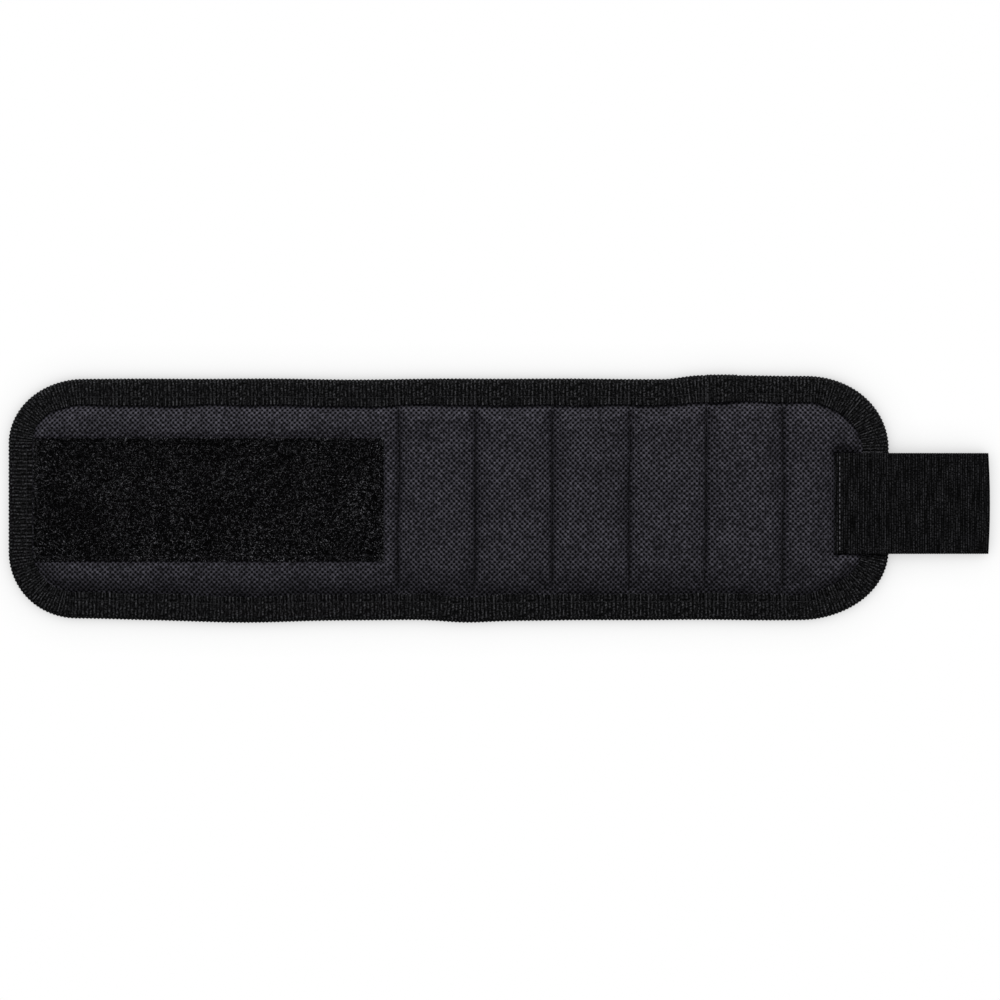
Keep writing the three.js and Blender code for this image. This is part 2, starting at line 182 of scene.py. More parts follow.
# %% World
world = bpy.data.worlds.new("white_studio")
world.use_nodes = True
bpy.context.scene.world = world
sky = world.node_tree
sky.nodes.clear()
FILL_LIGHT = 0.3
fill = add(sky, "ShaderNodeBackground", {"Color": (1, 1, 1, 1), "Strength": FILL_LIGHT})
backdrop = add(sky, "ShaderNodeBackground", {"Color": (1, 1, 1, 1), "Strength": 1})
ray = add(sky, "ShaderNodeLightPath")
seen = add(sky, "ShaderNodeMath", {0: ray.outputs["Is Camera Ray"], 1: ray.outputs["Is Glossy Ray"]},
           operation="MAXIMUM")
seen_or_through = add(sky, "ShaderNodeMath", {0: seen, 1: ray.outputs["Is Transmission Ray"]},
                      operation="MAXIMUM")
mixed_sky = add(sky, "ShaderNodeMixShader", {0: seen_or_through, 1: fill, 2: backdrop})
add(sky, "ShaderNodeOutputWorld", {"Surface": mixed_sky})
bpy.context.scene.view_settings.view_transform = "Standard"
print("world fill:", FILL_LIGHT)

# %% Lamp
lamp_data = bpy.data.lights.new("soft_box", "AREA")
lamp_data.shape = "RECTANGLE"
lamp_data.size = 1.1
lamp_data.size_y = 0.5
lamp_data.energy = 18.7
lamp = bpy.data.objects.new("soft_box", lamp_data)
LAMP_BEYOND = 1.0
LAMP_ABOVE = 0.9
lamp.location = (0.0, LAMP_BEYOND, LAMP_ABOVE)
lamp.rotation_euler = (-math.atan2(LAMP_BEYOND, LAMP_ABOVE), 0, 0)
bpy.context.collection.objects.link(lamp)
print("lamp:", lamp_data.energy, "W")

# %% [markdown]
# ### The floor
# The floor is a clear sheet under the band, which lets the white backdrop through and keeps only the
# band's soft shadow. Ambient occlusion gives that shadow: it asks how much of the sky over a point is
# hidden, here with the sky tipped towards the lamp. The shadow stays faint, as between white walls.
# Only a look from above meets it. From below the sheet is quite clear, so the lining can be seen, and
# so can the part of the band that goes below this level when it is wrapped round a wrist.

# %% Floor
FLOOR_REACH = 3.0
FLOOR_DROP = 0.6
SHADOW_REACH = 14.0
SHADOW_FLOOR = 0.35
floor_mesh = bpy.data.meshes.new("floor")
corners = [(-FLOOR_REACH, -FLOOR_REACH), (FLOOR_REACH, -FLOOR_REACH),
           (FLOOR_REACH, FLOOR_REACH), (-FLOOR_REACH, FLOOR_REACH)]
floor_mesh.from_pydata([(x, y, -FLOOR_DROP * MM) for x, y in corners], [], [(0, 1, 2, 3)])
floor = bpy.data.objects.new("floor", floor_mesh)
bpy.context.collection.objects.link(floor)
floor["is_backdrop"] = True
floor_finish = bpy.data.materials.new("clear_floor_with_shadow")
floor_finish.use_nodes = True
ground = floor_finish.node_tree
ground.nodes.clear()
open_sky = add(ground, "ShaderNodeAmbientOcclusion",
               {"Distance": SHADOW_REACH * MM, "Normal": (0.0, 0.5, 0.866)}, samples=16).outputs["AO"]
light_left = add(ground, "ShaderNodeMapRange", {"Value": open_sky, "To Min": SHADOW_FLOOR})
shadow = add(ground, "ShaderNodeBsdfTransparent", {"Color": light_left})
clear = add(ground, "ShaderNodeBsdfTransparent", {"Color": (1, 1, 1, 1)})
looked_at = add(ground, "ShaderNodeLightPath").outputs["Is Camera Ray"]
from_below = add(ground, "ShaderNodeNewGeometry").outputs["Backfacing"]
from_above = add(ground, "ShaderNodeMath", {0: looked_at, 1: from_below}, operation="SUBTRACT",
                 use_clamp=True)
floor_shader = add(ground, "ShaderNodeMixShader", {0: from_above, 1: clear, 2: shadow})
add(ground, "ShaderNodeOutputMaterial", {"Surface": floor_shader})
floor_mesh.materials.append(floor_finish)
print("floor:", floor_finish.name)

# %% [markdown]
# ## Finishes
# Nearly everything here is black, yet no two blacks are alike: the weave of the front catches light
# on every crossing, the tapes are ribbed, the pile swallows light, and the thread shines a little.
# Each finish is named for the real material and for how its surface was made. The patterns read
# a point attribute called flat, which holds each point's place on the cloth before it was sewn, so
# that the pattern follows the cloth when the band bends.

# %% Finish helpers
def linear(hex_colour):
    """An sRGB hex colour as the linear RGBA that the shaders expect."""
    parts = [int(hex_colour[i:i + 2], 16) / 255 for i in (1, 3, 5)]
    return (*[p / 12.92 if p <= 0.04045 else ((p + 0.055) / 1.055) ** 2.4 for p in parts], 1)


def new_finish(name):
    """A material with an empty node tree, and that tree."""
    finish = bpy.data.materials.new(name)
    finish.use_nodes = True
    finish.node_tree.nodes.clear()
    return finish, finish.node_tree


def speckle(tree, place, scale, detail, between, tones):
    """A noise, and the tone that goes from the first to the last as the noise goes between two values."""
    noise = add(tree, "ShaderNodeTexNoise", {"Vector": place, "Scale": scale, "Detail": detail})
    tone = add(tree, "ShaderNodeMapRange", {"Value": noise, "From Min": between[0], "From Max": between[1],
                                            "To Min": tones[0], "To Max": tones[1]})
    return noise, tone


def dyed(tree, colour, tone, **surface):
    """Ends a finish: a colour that the tone makes lighter or darker, on a surface with these settings."""
    dye = add(tree, "ShaderNodeHueSaturation", {"Color": linear(colour), "Value": tone})
    settings = {name.replace("_", " "): value for name, value in surface.items()}
    shader = add(tree, "ShaderNodeBsdfPrincipled", {"Base Color": dye, **settings})
    add(tree, "ShaderNodeOutputMaterial", {"Surface": shader})


# %% Front cloth
# Coarse nylon in a plain weave, dyed black. Each crossing is a small pillow of yarn, one lit and
# the next in shade, so the eye sees a lattice of dark dots on a charcoal ground. That light and shade
# is painted into the tone of each crossing, and a noise the size of a crossing paints a lustre, a sheen
# that changes from yarn to yarn.
CROSSING = 0.95
front_cloth, tree = new_finish("nylon_plain_weave")
flat = add(tree, "ShaderNodeAttribute", attribute_name="flat").outputs["Vector"]
slub = add(tree, "ShaderNodeTexNoise", {"Vector": flat, "Scale": 0.9, "Detail": 2.0})
wander = add(tree, "ShaderNodeVectorMath", {0: slub.outputs["Color"], 1: (0.45, 0.45, 0.0)},
             operation="MULTIPLY")
yarn_place = add(tree, "ShaderNodeVectorMath", {0: flat, 1: wander}, operation="ADD")
yarn_turn = add(tree, "ShaderNodeVectorMath", {0: yarn_place, "Scale": math.pi / CROSSING},
                operation="SCALE")
wave = add(tree, "ShaderNodeVectorMath", {0: yarn_turn}, operation="SINE")
axes = add(tree, "ShaderNodeSeparateXYZ", {0: wave})
crossing = add(tree, "ShaderNodeMath", {0: axes.outputs["X"], 1: axes.outputs["Y"]},
               operation="MULTIPLY")
# The tone paints light and shade on alternate crossings.
yarn_tone = add(tree, "ShaderNodeMapRange", {"Value": crossing, "From Min": -0.46, "From Max": 0.38,
                                             "To Min": 0.0, "To Max": 2.0})
_, patch_tone = speckle(tree, flat, scale=0.12, detail=3.0, between=(0.3, 0.7), tones=(0.8, 1.2))
_, lustre_tone = speckle(tree, flat, scale=1 / CROSSING, detail=2.0, between=(0.35, 0.65), tones=(0.4, 1.6))
yarn_and_patch = add(tree, "ShaderNodeMath", {0: yarn_tone, 1: patch_tone}, operation="MULTIPLY")
tone = add(tree, "ShaderNodeMath", {0: yarn_and_patch, 1: lustre_tone}, operation="MULTIPLY")
relief = add(tree, "ShaderNodeBump", {"Height": crossing, "Strength": 0.8, "Distance": 0.15 * MM})
dyed(tree, "#2B2A2F", tone, Roughness=0.72, IOR=1.53, Specular_IOR_Level=0.03, Sheen_Weight=0.01,
     Sheen_Roughness=0.5, Normal=relief)
print("finish:", front_cloth.name)

# %% Tapes
# Ribbed polyester tape, woven with a thick cord in every rib. The ribs are real shape below, and each
# point carries a number, rib, that is 1 on a crest and -1 in a groove. Light hardly reaches the dyed
# yarn in the grooves, so the tone paints shade in them and light on the crests, and the eye sees fine
# lines. Some cords are paler than others for a part of their length, and the grain of single yarns,
# partly their own tone and partly a painted glint, breaks the lines up. That grain is finer than the
# picture can show, and is drawn about twice as coarse.
def ribbed_tape(name, colour, grain_mm, cord_share):
    """A ribbed finish with yarns of a real size; cords are yarns drawn out along the rib by a share."""
    finish, tree = new_finish(name)
    flat = add(tree, "ShaderNodeAttribute", attribute_name="flat").outputs["Vector"]
    rib = add(tree, "ShaderNodeAttribute", attribute_name="rib").outputs["Fac"]
    # Painted shade in the grooves and painted light on the crests.
    rib_shade_tone = add(tree, "ShaderNodeMapRange", {"Value": rib, "From Min": -0.6, "From Max": 0.9,
                                                "To Min": 0.25, "To Max": 1.75})
    drawn_out = add(tree, "ShaderNodeVectorMath", {0: flat, 1: (1.0, cord_share, 1.0)},
                    operation="MULTIPLY")
    _, cord_tone = speckle(tree, drawn_out, 1 / grain_mm, detail=1.0, between=(0.36, 0.64), tones=(0.2, 1.8))
    # The yarns' own grain, with a painted glint on some of them.
    grain, yarn_grain_and_glint_tone = speckle(tree, flat, 1 / grain_mm, detail=2.0, between=(0.42, 0.64), tones=(0.1, 3.6))
    yarn_tone = add(tree, "ShaderNodeMath", {0: cord_tone, 1: yarn_grain_and_glint_tone}, operation="MULTIPLY")
    tone = add(tree, "ShaderNodeMath", {0: rib_shade_tone, 1: yarn_tone}, operation="MULTIPLY")
    relief = add(tree, "ShaderNodeBump", {"Height": grain, "Strength": 0.6, "Distance": 0.1 * MM})
    dyed(tree, colour, tone, Roughness=0.6, IOR=1.57, Specular_IOR_Level=0.015, Normal=relief)
    return finish


binding_tape = ribbed_tape("polyester_binding_woven_ribbed", "#141415", 0.62, 0.3)
tab_webbing = ribbed_tape("polyester_tab_woven_ribbed", "#0E0E0F", 0.62, 0.06)
print("finishes:", binding_tape.name, tab_webbing.name)

# %% Loop pile and its ground
# Brushed nylon loops on a knitted ground. The loops stand in every direction, so the patch looks
# matt and deep, with single loops that catch the light as fine specks. Those specks are painted
# highlights: each loop carries its own random number, which paints a highlight on a few loops and
# leaves the rest darker, and a fine noise paints glint along the loops.
loop_pile, tree = new_finish("nylon_loop_brushed")
fibre = add(tree, "ShaderNodeAttribute", attribute_name="fibre").outputs["Fac"]
few = add(tree, "ShaderNodeMath", {0: fibre, 1: 3.0}, operation="POWER")
loop_tone = add(tree, "ShaderNodeMapRange", {"Value": few, "To Min": 0.1, "To Max": 20.0})
place = add(tree, "ShaderNodeTexCoord").outputs["Object"]
_, glint_tone = speckle(tree, place, 1 / (0.3 * MM), detail=1.0, between=(0.42, 0.66), tones=(0.0, 3.4))
_, nap_tone = speckle(tree, place, 1 / (20 * MM), detail=2.0, between=(0.35, 0.65), tones=(0.6, 1.1))
speck_tone = add(tree, "ShaderNodeMath", {0: loop_tone, 1: glint_tone}, operation="MULTIPLY")
tone = add(tree, "ShaderNodeMath", {0: speck_tone, 1: nap_tone}, operation="MULTIPLY")
dyed(tree, "#111112", tone, Roughness=0.55, IOR=1.53, Specular_IOR_Level=0.02)


def knit_ground(name, colour, stitch_mm, specular):
    """A fine warp knit: columns of small loops, drawn about twice as coarse as they are."""
    finish, tree = new_finish(name)
    flat = add(tree, "ShaderNodeAttribute", attribute_name="flat").outputs["Vector"]
    bands = {"Vector": flat, "Scale": 0.31 / stitch_mm, "Distortion": 0.6, "Detail Scale": 1.5}
    columns, courses = [add(tree, "ShaderNodeTexWave", bands, bands_direction=axis).outputs["Fac"]
                        for axis in "YX"]
    loops = add(tree, "ShaderNodeMath", {0: columns, 1: courses}, operation="MULTIPLY")
    nap = add(tree, "ShaderNodeTexNoise", {"Vector": flat, "Scale": 0.15, "Detail": 4.0})
    blend = add(tree, "ShaderNodeMath", {0: loops, 1: nap}, operation="ADD")
    tone = add(tree, "ShaderNodeMapRange", {"Value": blend, "From Min": 0.2, "From Max": 1.4,
                                            "To Min": 0.6, "To Max": 1.4})
    relief = add(tree, "ShaderNodeBump", {"Height": loops, "Strength": 0.6, "Distance": 0.1 * MM})
    dyed(tree, colour, tone, Roughness=0.8, IOR=1.53, Specular_IOR_Level=specular, Sheen_Weight=0.03,
         Sheen_Roughness=0.4, Normal=relief)
    return finish


loop_ground = knit_ground("nylon_loop_ground_knit", "#070708", 0.9, 0.01)
back_lining = knit_ground("polyester_lining_tricot_knit", "#232326", 1.1, 0.08)
print("finishes:", loop_pile.name, loop_ground.name, back_lining.name)

# %% Thread, hooks and magnets
# Bonded thread is waxy and a little paler than the cloth. Hooks are melt-spun nylon, cut open, with
# the dull gleam of plastic. The magnets are nickel plated by barrel, which leaves a soft mirror with
# faint scuffs; they are closed up in the foam and show only in a cut.
def speckled(name, colour, spot_mm, tones, **surface):
    """A finish with small spots of lighter and darker colour, at a real spot size."""
    finish, tree = new_finish(name)
    place = add(tree, "ShaderNodeTexCoord").outputs["Object"]
    spots, tone = speckle(tree, place, 1 / (spot_mm * MM), detail=2.0, between=(0.35, 0.65), tones=tones)
    relief = add(tree, "ShaderNodeBump", {"Height": spots, "Strength": 0.2, "Distance": 0.02 * MM})
    dyed(tree, colour, tone, Normal=relief, **surface)
    return finish


thread = speckled("polyester_thread_bonded", "#151517", 0.5, (0.6, 1.5),
                  Roughness=0.5, IOR=1.57, Specular_IOR_Level=0.08)
pale_thread = speckled("polyester_thread_bonded_grey", "#5A5A5E", 0.5, (0.4, 1.5),
                       Roughness=0.5, IOR=1.57, Specular_IOR_Level=0.2)
hook_nylon = speckled("nylon_hook_spun_and_cut", "#101011", 0.4, (0.7, 1.4),
                      Roughness=0.4, IOR=1.53, Specular_IOR_Level=0.4)
nickel = speckled("neodymium_magnet_nickel_plated", "#BDB6AB", 2.0, (0.9, 1.05),
                  Roughness=0.28, Metallic=1.0)
print("finishes:", thread.name, hook_nylon.name, nickel.name)

# %% [markdown]
# ## The lie of the cloth
# The quilt is thin where it is sewn and full in between. Its height at any point follows from three
# distances: to the rim, to the nearest seam, and to the tab's lap. Writing these as functions of
# numpy arrays lets one rule shape the front, the back, the patch and the stitches alike.

# %% Outline of the band
# The sewn band isn't quite true. Each corner is a quarter ellipse of its own, with a reach along the
# band and one across it. The upper edge runs a little wide past the fourth pocket, and the lower edge
# bulges in or out at three places: each has a place, a spread and a reach.
LOOP_UPPER_CORNER = (28.0, 24.5)
LOOP_LOWER_CORNER = (25.5, 25.5)
TAB_UPPER_CORNER = (31.0, 27.5)
TAB_LOWER_CORNER = (33.0, 26.5)
UPPER_DRIFT = 1.3
DRIFT_START = 62.0
DRIFT_RUN = 14.0
LOWER_BULGES = ((-152.0, 25.0, -0.7), (-98.0, 30.0, 0.9), (-13.0, 12.0, 1.0))
EDGE_WAVER = 0.2


def ease(amount):
    """0 below 0, 1 above 1, and a smooth step between."""
    t = np.clip(amount, 0, 1)
    return t * t * (3 - 2 * t)


def uneven(along, wavelength, offset):
    """A slow irregular wave between about -1 and 1."""
    turn = 2 * np.pi * along / wavelength
    slower = np.sin(0.577 * turn + 0.7)
    faster = np.sin(1.618 * turn + 2.3 * offset)
    return (np.sin(turn + offset) + faster + slower) / 2.2


def upper_edge(x):
    drift = UPPER_DRIFT * ease((x - DRIFT_START) / DRIFT_RUN)
    return HALF_WIDTH + drift + EDGE_WAVER * uneven(x, wavelength=90, offset=2.0)


def lower_edge(x):
    bulge = sum(reach * np.exp(-((x - place) / spread) ** 2) for place, spread, reach in LOWER_BULGES)
    return HALF_WIDTH + bulge + EDGE_WAVER * uneven(x, wavelength=80, offset=0.4)


def corner_place(x, y):
    """The two reaches of the corner near a point, and the point's place from the corner's middle."""
    upper = y >= 0
    edge = np.where(upper, upper_edge(x), lower_edge(x))
    from_loop_end = x - BAND_START
    from_tab_end = BAND_END - x
    reach_along, reach_across = [
        np.where(from_loop_end < from_tab_end, np.where(upper, a, b), np.where(upper, c, d))
        for a, b, c, d in zip(LOOP_UPPER_CORNER, LOOP_LOWER_CORNER, TAB_UPPER_CORNER, TAB_LOWER_CORNER)]
    along = reach_along - np.minimum(from_loop_end, from_tab_end)
    across = np.abs(y) - (edge - reach_across)
    return reach_along, reach_across, along, across


def rim_inset(x, y):
    """How far a point lies inside the rim."""
    reach_along, reach_across, along, across = corner_place(x, y)
    in_corner = (along > 0) & (across > 0)
    share = np.maximum(np.hypot(along / reach_along, across / reach_across), 0.01)
    corner_inset = np.hypot(along, across) * (1 / share - 1)
    return np.where(in_corner, corner_inset, np.minimum(reach_along - along, reach_across - across))


def half_width(x, inset, upper):
    """The distance from the middle line to the rim, less an inset, at a place along the band."""
    side = np.full_like(x, 1.0 if upper else -1.0)
    reach_along, reach_across, along, across = corner_place(x, side)
    corner_start = 1.0 - across
    share = np.clip(along / (reach_along - inset), 0, 1)
    return corner_start + (reach_across - inset) * np.sqrt(1 - share ** 2)


print("half width at the middle:", half_width(np.zeros(1), 0, True)[0])

# %% Height of the quilt
CLOTH = 0.6
FOAM_RISE = 3.6
FRONT_LOW = box_mm("end_front")[1][2] - FOAM_RISE
LINING_LIFT = 0.9
# Along the upper edge the foam ends a little short of the tape, which leaves a narrow crease. Along the
# lower edge it falls further short, and the cloth slopes down.
EDGE_FLAT = 0.4
UPPER_CREASE = 1.0
UPPER_ROLL = 1.4
LOWER_SLOPE = 6.0
UPPER_LOWER_FADE = 20.0
SEAM_FLAT = 0.25
SEAM_ROLL = 2.1
SEAM_WAVER = 0.35
LAP_FLAT = 0.6
LAP_ROLL = 4.0
patch_low = box_mm("loop_patch_1")[0]
patch_high = box_mm("loop_patch_4")[1]
lap_low, lap_high = box_mm("tab_lap")
# The end of the webbing is turned in, and the turned edge lies a little further in than its solid.
TAB_TURN_IN = 2.0
webbing_low = lap_low - [TAB_TURN_IN, 0, 0]
# The tape lies a little wider than its solid, except round the loop end, where the patch begins
# beside it. Round a corner it is eased flat and covers more of the cloth, but round the upper corner
# of the loop end it is drawn tight and covers a little less. No edge is quite even.
TAPE_SPREAD = 0.8
SPREAD_FADE = 12.0
CORNER_SPREAD = 0.8
TIGHT_CORNER_SPREAD = -0.2
TAPE_WAVER = 0.35
PATCH_SINK = 1.0
PATCH_RAMP = 3.0


def roll(distance, width):
    """How full the foam is at a distance from a sewn line: a round shoulder, steep beside the line."""
    t = np.clip(distance / width, 0, 1)
    return np.sqrt(t * (2 - t))


def outside_box(x, y, low, high):
    """The distance from a rectangle on the band; negative inside it."""
    return np.maximum(np.maximum(low[0] - x, x - high[0]), np.maximum(low[1] - y, y - high[1]))


def seam_place(number, y):
    """Where a seam lies: no hand guides the cloth quite straight under the needle."""
    return seam_x[number] + SEAM_WAVER * uneven(y, wavelength=75.0, offset=1.7 * number)


def tape_spread(x, y):
    """How much wider than its solid the tape lies near a point on the rim."""
    reach_along, reach_across, along, across = corner_place(x, y)
    round_corner = np.arctan2(np.maximum(across / reach_across, 0), np.maximum(along / reach_along, 0))
    is_tight = (y >= 0) & (x - BAND_START < BAND_END - x)
    corner_spread = np.where(is_tight, TIGHT_CORNER_SPREAD, CORNER_SPREAD)
    past_loop_end = ease((x - BAND_START - TAPE_WIDTH) / SPREAD_FADE)
    waver = TAPE_WAVER * uneven(x, wavelength=41.0, offset=np.where(y >= 0, 2.9, 0.6))
    along_edge = TAPE_SPREAD + waver
    return corner_spread * np.sin(2 * round_corner) + past_loop_end * along_edge


def fullness(x, y):
    """How far the foam lifts the front: 0 on a sewn line, 1 in the middle of a pocket."""
    from_seam = np.min([np.abs(x - seam_place(number, y)) for number in range(len(seam_x))], axis=0)
    from_lap = outside_box(x, y, webbing_low, lap_high)
    from_tape = rim_inset(x, y) - TAPE_WIDTH - tape_spread(x, y) - EDGE_FLAT
    upper_rise = roll(from_tape - UPPER_CREASE, UPPER_ROLL)
    slope = np.clip(from_tape / LOWER_SLOPE, 0, 1)
    lower_rise = slope * (2 - slope)
    in_upper_half = ease(y / UPPER_LOWER_FADE + 0.5)
    from_rim = in_upper_half * upper_rise + (1 - in_upper_half) * lower_rise
    return from_rim * roll(from_seam - SEAM_FLAT, SEAM_ROLL) * roll(from_lap - LAP_FLAT, LAP_ROLL)


def patch_pull(x, y):
    """How much of the patch's sink a point takes: 1 under the patch, 0 a ramp away from it."""
    return ease(0.5 - outside_box(x, y, patch_low, patch_high) / PATCH_RAMP)


print("front low:", round(FRONT_LOW, 2), "patch from", patch_low[0], "to", patch_high[0])

# %% [markdown]
# ## The front cloth, puffed by the foam
# The front is one sheet of woven nylon, held down by the binding, the seams, the patch and the tab.
# Foam pushes it up everywhere else. Blender's cloth solver makes that from the rule above: the sheet
# starts in the shape of the rule, the sewn points are pinned, and pressure from below fills the pockets.
# The copy that goes through the solver is ten times the real size, because the solver is made for
# things as large as clothes. A cap keeps every point within a millimetre or so of the rule.

# %% Grid of the sheet
FINE_STEP = 0.6
COARSE_STEP = 1.5
SEAM_ZONE = 6.0
RIM_ZONE = 0.42
CLOTH_TUCK = 2.2


def steps_between(stops, is_fine):
    """Places from the first stop to the last, close together where is_fine says so, and on every stop."""
    places = []
    for a, b in zip(stops, stops[1:]):
        step = FINE_STEP if is_fine((a + b) / 2) else COARSE_STEP
        places.append(np.linspace(a, b, max(2, math.ceil((b - a) / step) + 1))[:-1])
    return np.concatenate([*places, stops[-1:]])


first_x, last_x = BAND_START + CLOTH_TUCK, BAND_END - CLOTH_TUCK
zone_edges = [seam + side for seam in seam_x for side in (-SEAM_ZONE, SEAM_ZONE)]
column_stops = sorted([first_x, first_x + TAPE_WIDTH, *cut_x[1:-1], *bend_x, *zone_edges,
                       last_x - TAPE_WIDTH, last_x])


def near_seam(x):
    return min(abs(x - seam) for seam in seam_x) < SEAM_ZONE


column_x = steps_between(column_stops, near_seam)
cloth_half = HALF_WIDTH - CLOTH_TUCK
row_stops = np.array([-1, -1 + RIM_ZONE, 1 - RIM_ZONE, 1]) * cloth_half
row_v = steps_between(list(row_stops), lambda y: abs(y) > cloth_half * (1 - RIM_ZONE)) / cloth_half
ROWS = len(row_v)
upper_reach = half_width(column_x, CLOTH_TUCK, True)
lower_reach = half_width(column_x, CLOTH_TUCK, False)
grid_x = np.tile(column_x, (ROWS, 1))
grid_y = np.where(row_v[:, None] >= 0, row_v[:, None] * upper_reach, row_v[:, None] * lower_reach)
grid_full = fullness(grid_x, grid_y)
grid_pull = patch_pull(grid_x, grid_y)
grid_z = FRONT_LOW + grid_full * (FOAM_RISE - PATCH_SINK * grid_pull)
print("sheet grid:", grid_x.shape)


def joined(*axes):
    """Points from one array for each axis, or a single value that they all share."""
    return np.stack(np.broadcast_arrays(*axes), axis=-1)


def grid_faces(rows, columns):
    """Four-sided faces of a grid, seen from above."""
    corner = (np.arange(rows - 1)[:, None] * columns + np.arange(columns - 1)).ravel()
    return np.stack([corner, corner + 1, corner + columns + 1, corner + columns], axis=1)


# %% Cloth solver
SOLVER_SCALE = 10
SOLVER_FRAMES = 20
PUFF_CAP = 1.2
SEWN_BELOW = 0.03
UNDER_PATCH = 0.9


def puffed(points, faces, sewn):
    """The points after the solver has pushed the sheet up between the sewn ones, in millimetres."""
    mesh = bpy.data.meshes.new("slack_sheet")
    mesh.from_pydata((points * MM * SOLVER_SCALE).tolist(), [], faces.tolist())
    sheet = bpy.data.objects.new("slack_sheet", mesh)
    bpy.context.collection.objects.link(sheet)
    sheet.vertex_groups.new(name="sewn").add(np.flatnonzero(sewn).tolist(), 1.0, "REPLACE")
    solver = sheet.modifiers.new("puff", "CLOTH")
    solver.settings.quality = 6
    solver.settings.mass = 0.25
    solver.settings.vertex_group_mass = "sewn"
    solver.settings.tension_stiffness = 25
    solver.settings.compression_stiffness = 25
    solver.settings.bending_stiffness = 1.5
    solver.settings.use_pressure = True
    solver.settings.uniform_pressure_force = 4
    solver.settings.effector_weights.gravity = 0
    solver.collision_settings.use_collision = False
    for step in range(1, SOLVER_FRAMES + 1):
        bpy.context.scene.frame_set(step)
    solved = sheet.evaluated_get(bpy.context.evaluated_depsgraph_get())
    places = np.empty(len(points) * 3, np.float32)
    solved.data.vertices.foreach_get("co", places)
    bpy.data.objects.remove(sheet)
    bpy.context.scene.frame_set(1)
    return places.reshape(-1, 3) / (MM * SOLVER_SCALE)


front_points = joined(grid_x, grid_y, grid_z)
sewn = (grid_full < SEWN_BELOW) | (grid_pull > UNDER_PATCH)
flat_points = front_points.reshape(-1, 3)
moved = puffed(flat_points, grid_faces(*grid_x.shape), sewn.ravel()) - flat_points
lift = np.clip(moved[:, 2], -PUFF_CAP, PUFF_CAP).reshape(grid_z.shape)
front_points[:, :, 2] += lift
print("solver lift: mean", round(float(lift.mean()), 3), "most", round(float(lift.max()), 3))

# %% [markdown]
# ## Puckers
# A needle pulls the cloth down at every stitch and leaves it free between them, so sewn cloth always
# has fine puckers beside its seams, and longer, softer creases that fade out into the pocket.
# A few sine waves with fixed offsets are enough for that, and they repeat exactly on each run.

# %% Puckers beside the seams and the binding
STITCH_PITCH = 2.6
FINE_PUCKER = 0.16
FINE_PUCKER_FADE = 1.5
# Creases have a height, a distance from the sewn line, a spread about that distance and a wavelength.
SEAM_CREASES = (0.30, 3.5, 3.0, 15.0)
RIM_CREASES = (0.25, 4.0, 3.5, 19.0)
UNEVENNESS = 0.20
PUCKER_ONSET = 3
LINING_PUCKER = 0.25


def creases(away, along, offset, height, distance, spread, wavelength):
    """Soft creases beside a sewn line, from the distance to it and the place along it."""
    return height * np.exp(-((away - distance) / spread) ** 2) * uneven(along, wavelength, offset)


def pucker(x, y):
    """How far sewing draws the cloth up or down at each point."""
    total = np.zeros_like(x)
    for number, seam in enumerate(seam_x):
        away = np.abs(x - seam_place(number, y))
        # One fine pucker for each stitch, then longer creases a few millimetres from the seam.
        total += FINE_PUCKER * np.exp(-away / FINE_PUCKER_FADE) * np.cos(2 * np.pi * y / STITCH_PITCH)
        total += creases(away, y, number + np.sign(x - seam), *SEAM_CREASES)
    # Creases beside the binding, and the slow unevenness of the whole quilt.
    inside = rim_inset(x, y) - TAPE_WIDTH
    side = np.where(y >= 0, 1.0, 4.0)
    total += creases(inside, x, side, *RIM_CREASES)
    slanted = uneven(x + 0.6 * y, wavelength=57.0, offset=2.0)
    total += UNEVENNESS * slanted * uneven(y - 0.3 * x, wavelength=41.0, offset=1.0)
    return total


front_points[:, :, 2] += pucker(grid_x, grid_y) * np.clip(grid_full * PUCKER_ONSET, 0, 1)


def cloth_z(x, y):
    """The height of the finished front at any point, by bilinear steps on its grid."""
    x = np.asarray(x, float)
    y = np.asarray(y, float)
    reach = np.where(y >= 0, half_width(x, CLOTH_TUCK, True), half_width(x, CLOTH_TUCK, False))
    row = np.clip(np.interp(y / reach, row_v, np.arange(ROWS)), 0, ROWS - 1.001)
    column = np.clip(np.interp(x, column_x, np.arange(len(column_x))), 0, len(column_x) - 1.001)
    r, c = row.astype(int), column.astype(int)
    z = front_points[:, :, 2]
    near = z[r, c] * (1 - column + c) + z[r, c + 1] * (column - c)
    far = z[r + 1, c] * (1 - column + c) + z[r + 1, c + 1] * (column - c)
    return near * (1 - row + r) + far * (row - r)


print("front height: ", np.round([front_points[:, :, 2].min(), front_points[:, :, 2].max()], 2))

# %% [markdown]
# ## From grids to closed pieces
# Every piece is a closed skin, with an upper and an under side and walls round the edge, so it has a
# true thickness and no holes. The attribute flat is written on its points as it is made.
# Each piece then takes the place of the CAD solids under it, which are hidden.

# %% Piece helpers
def new_piece(name, points, edges, faces):
    """A mesh object in the scene, from points in millimetres."""
    mesh = bpy.data.meshes.new(name)
    mesh.from_pydata((points * MM).tolist(), edges, faces)
    piece = bpy.data.objects.new(name, mesh)
    bpy.context.collection.objects.link(piece)
    return piece


def smooth(piece, sharp_from):
    """Shades a piece as a round one, apart from edges that are sharper than an angle in degrees."""
    piece.data.shade_smooth()
    piece.data.set_sharp_from_angle(angle=math.radians(sharp_from))
    return piece


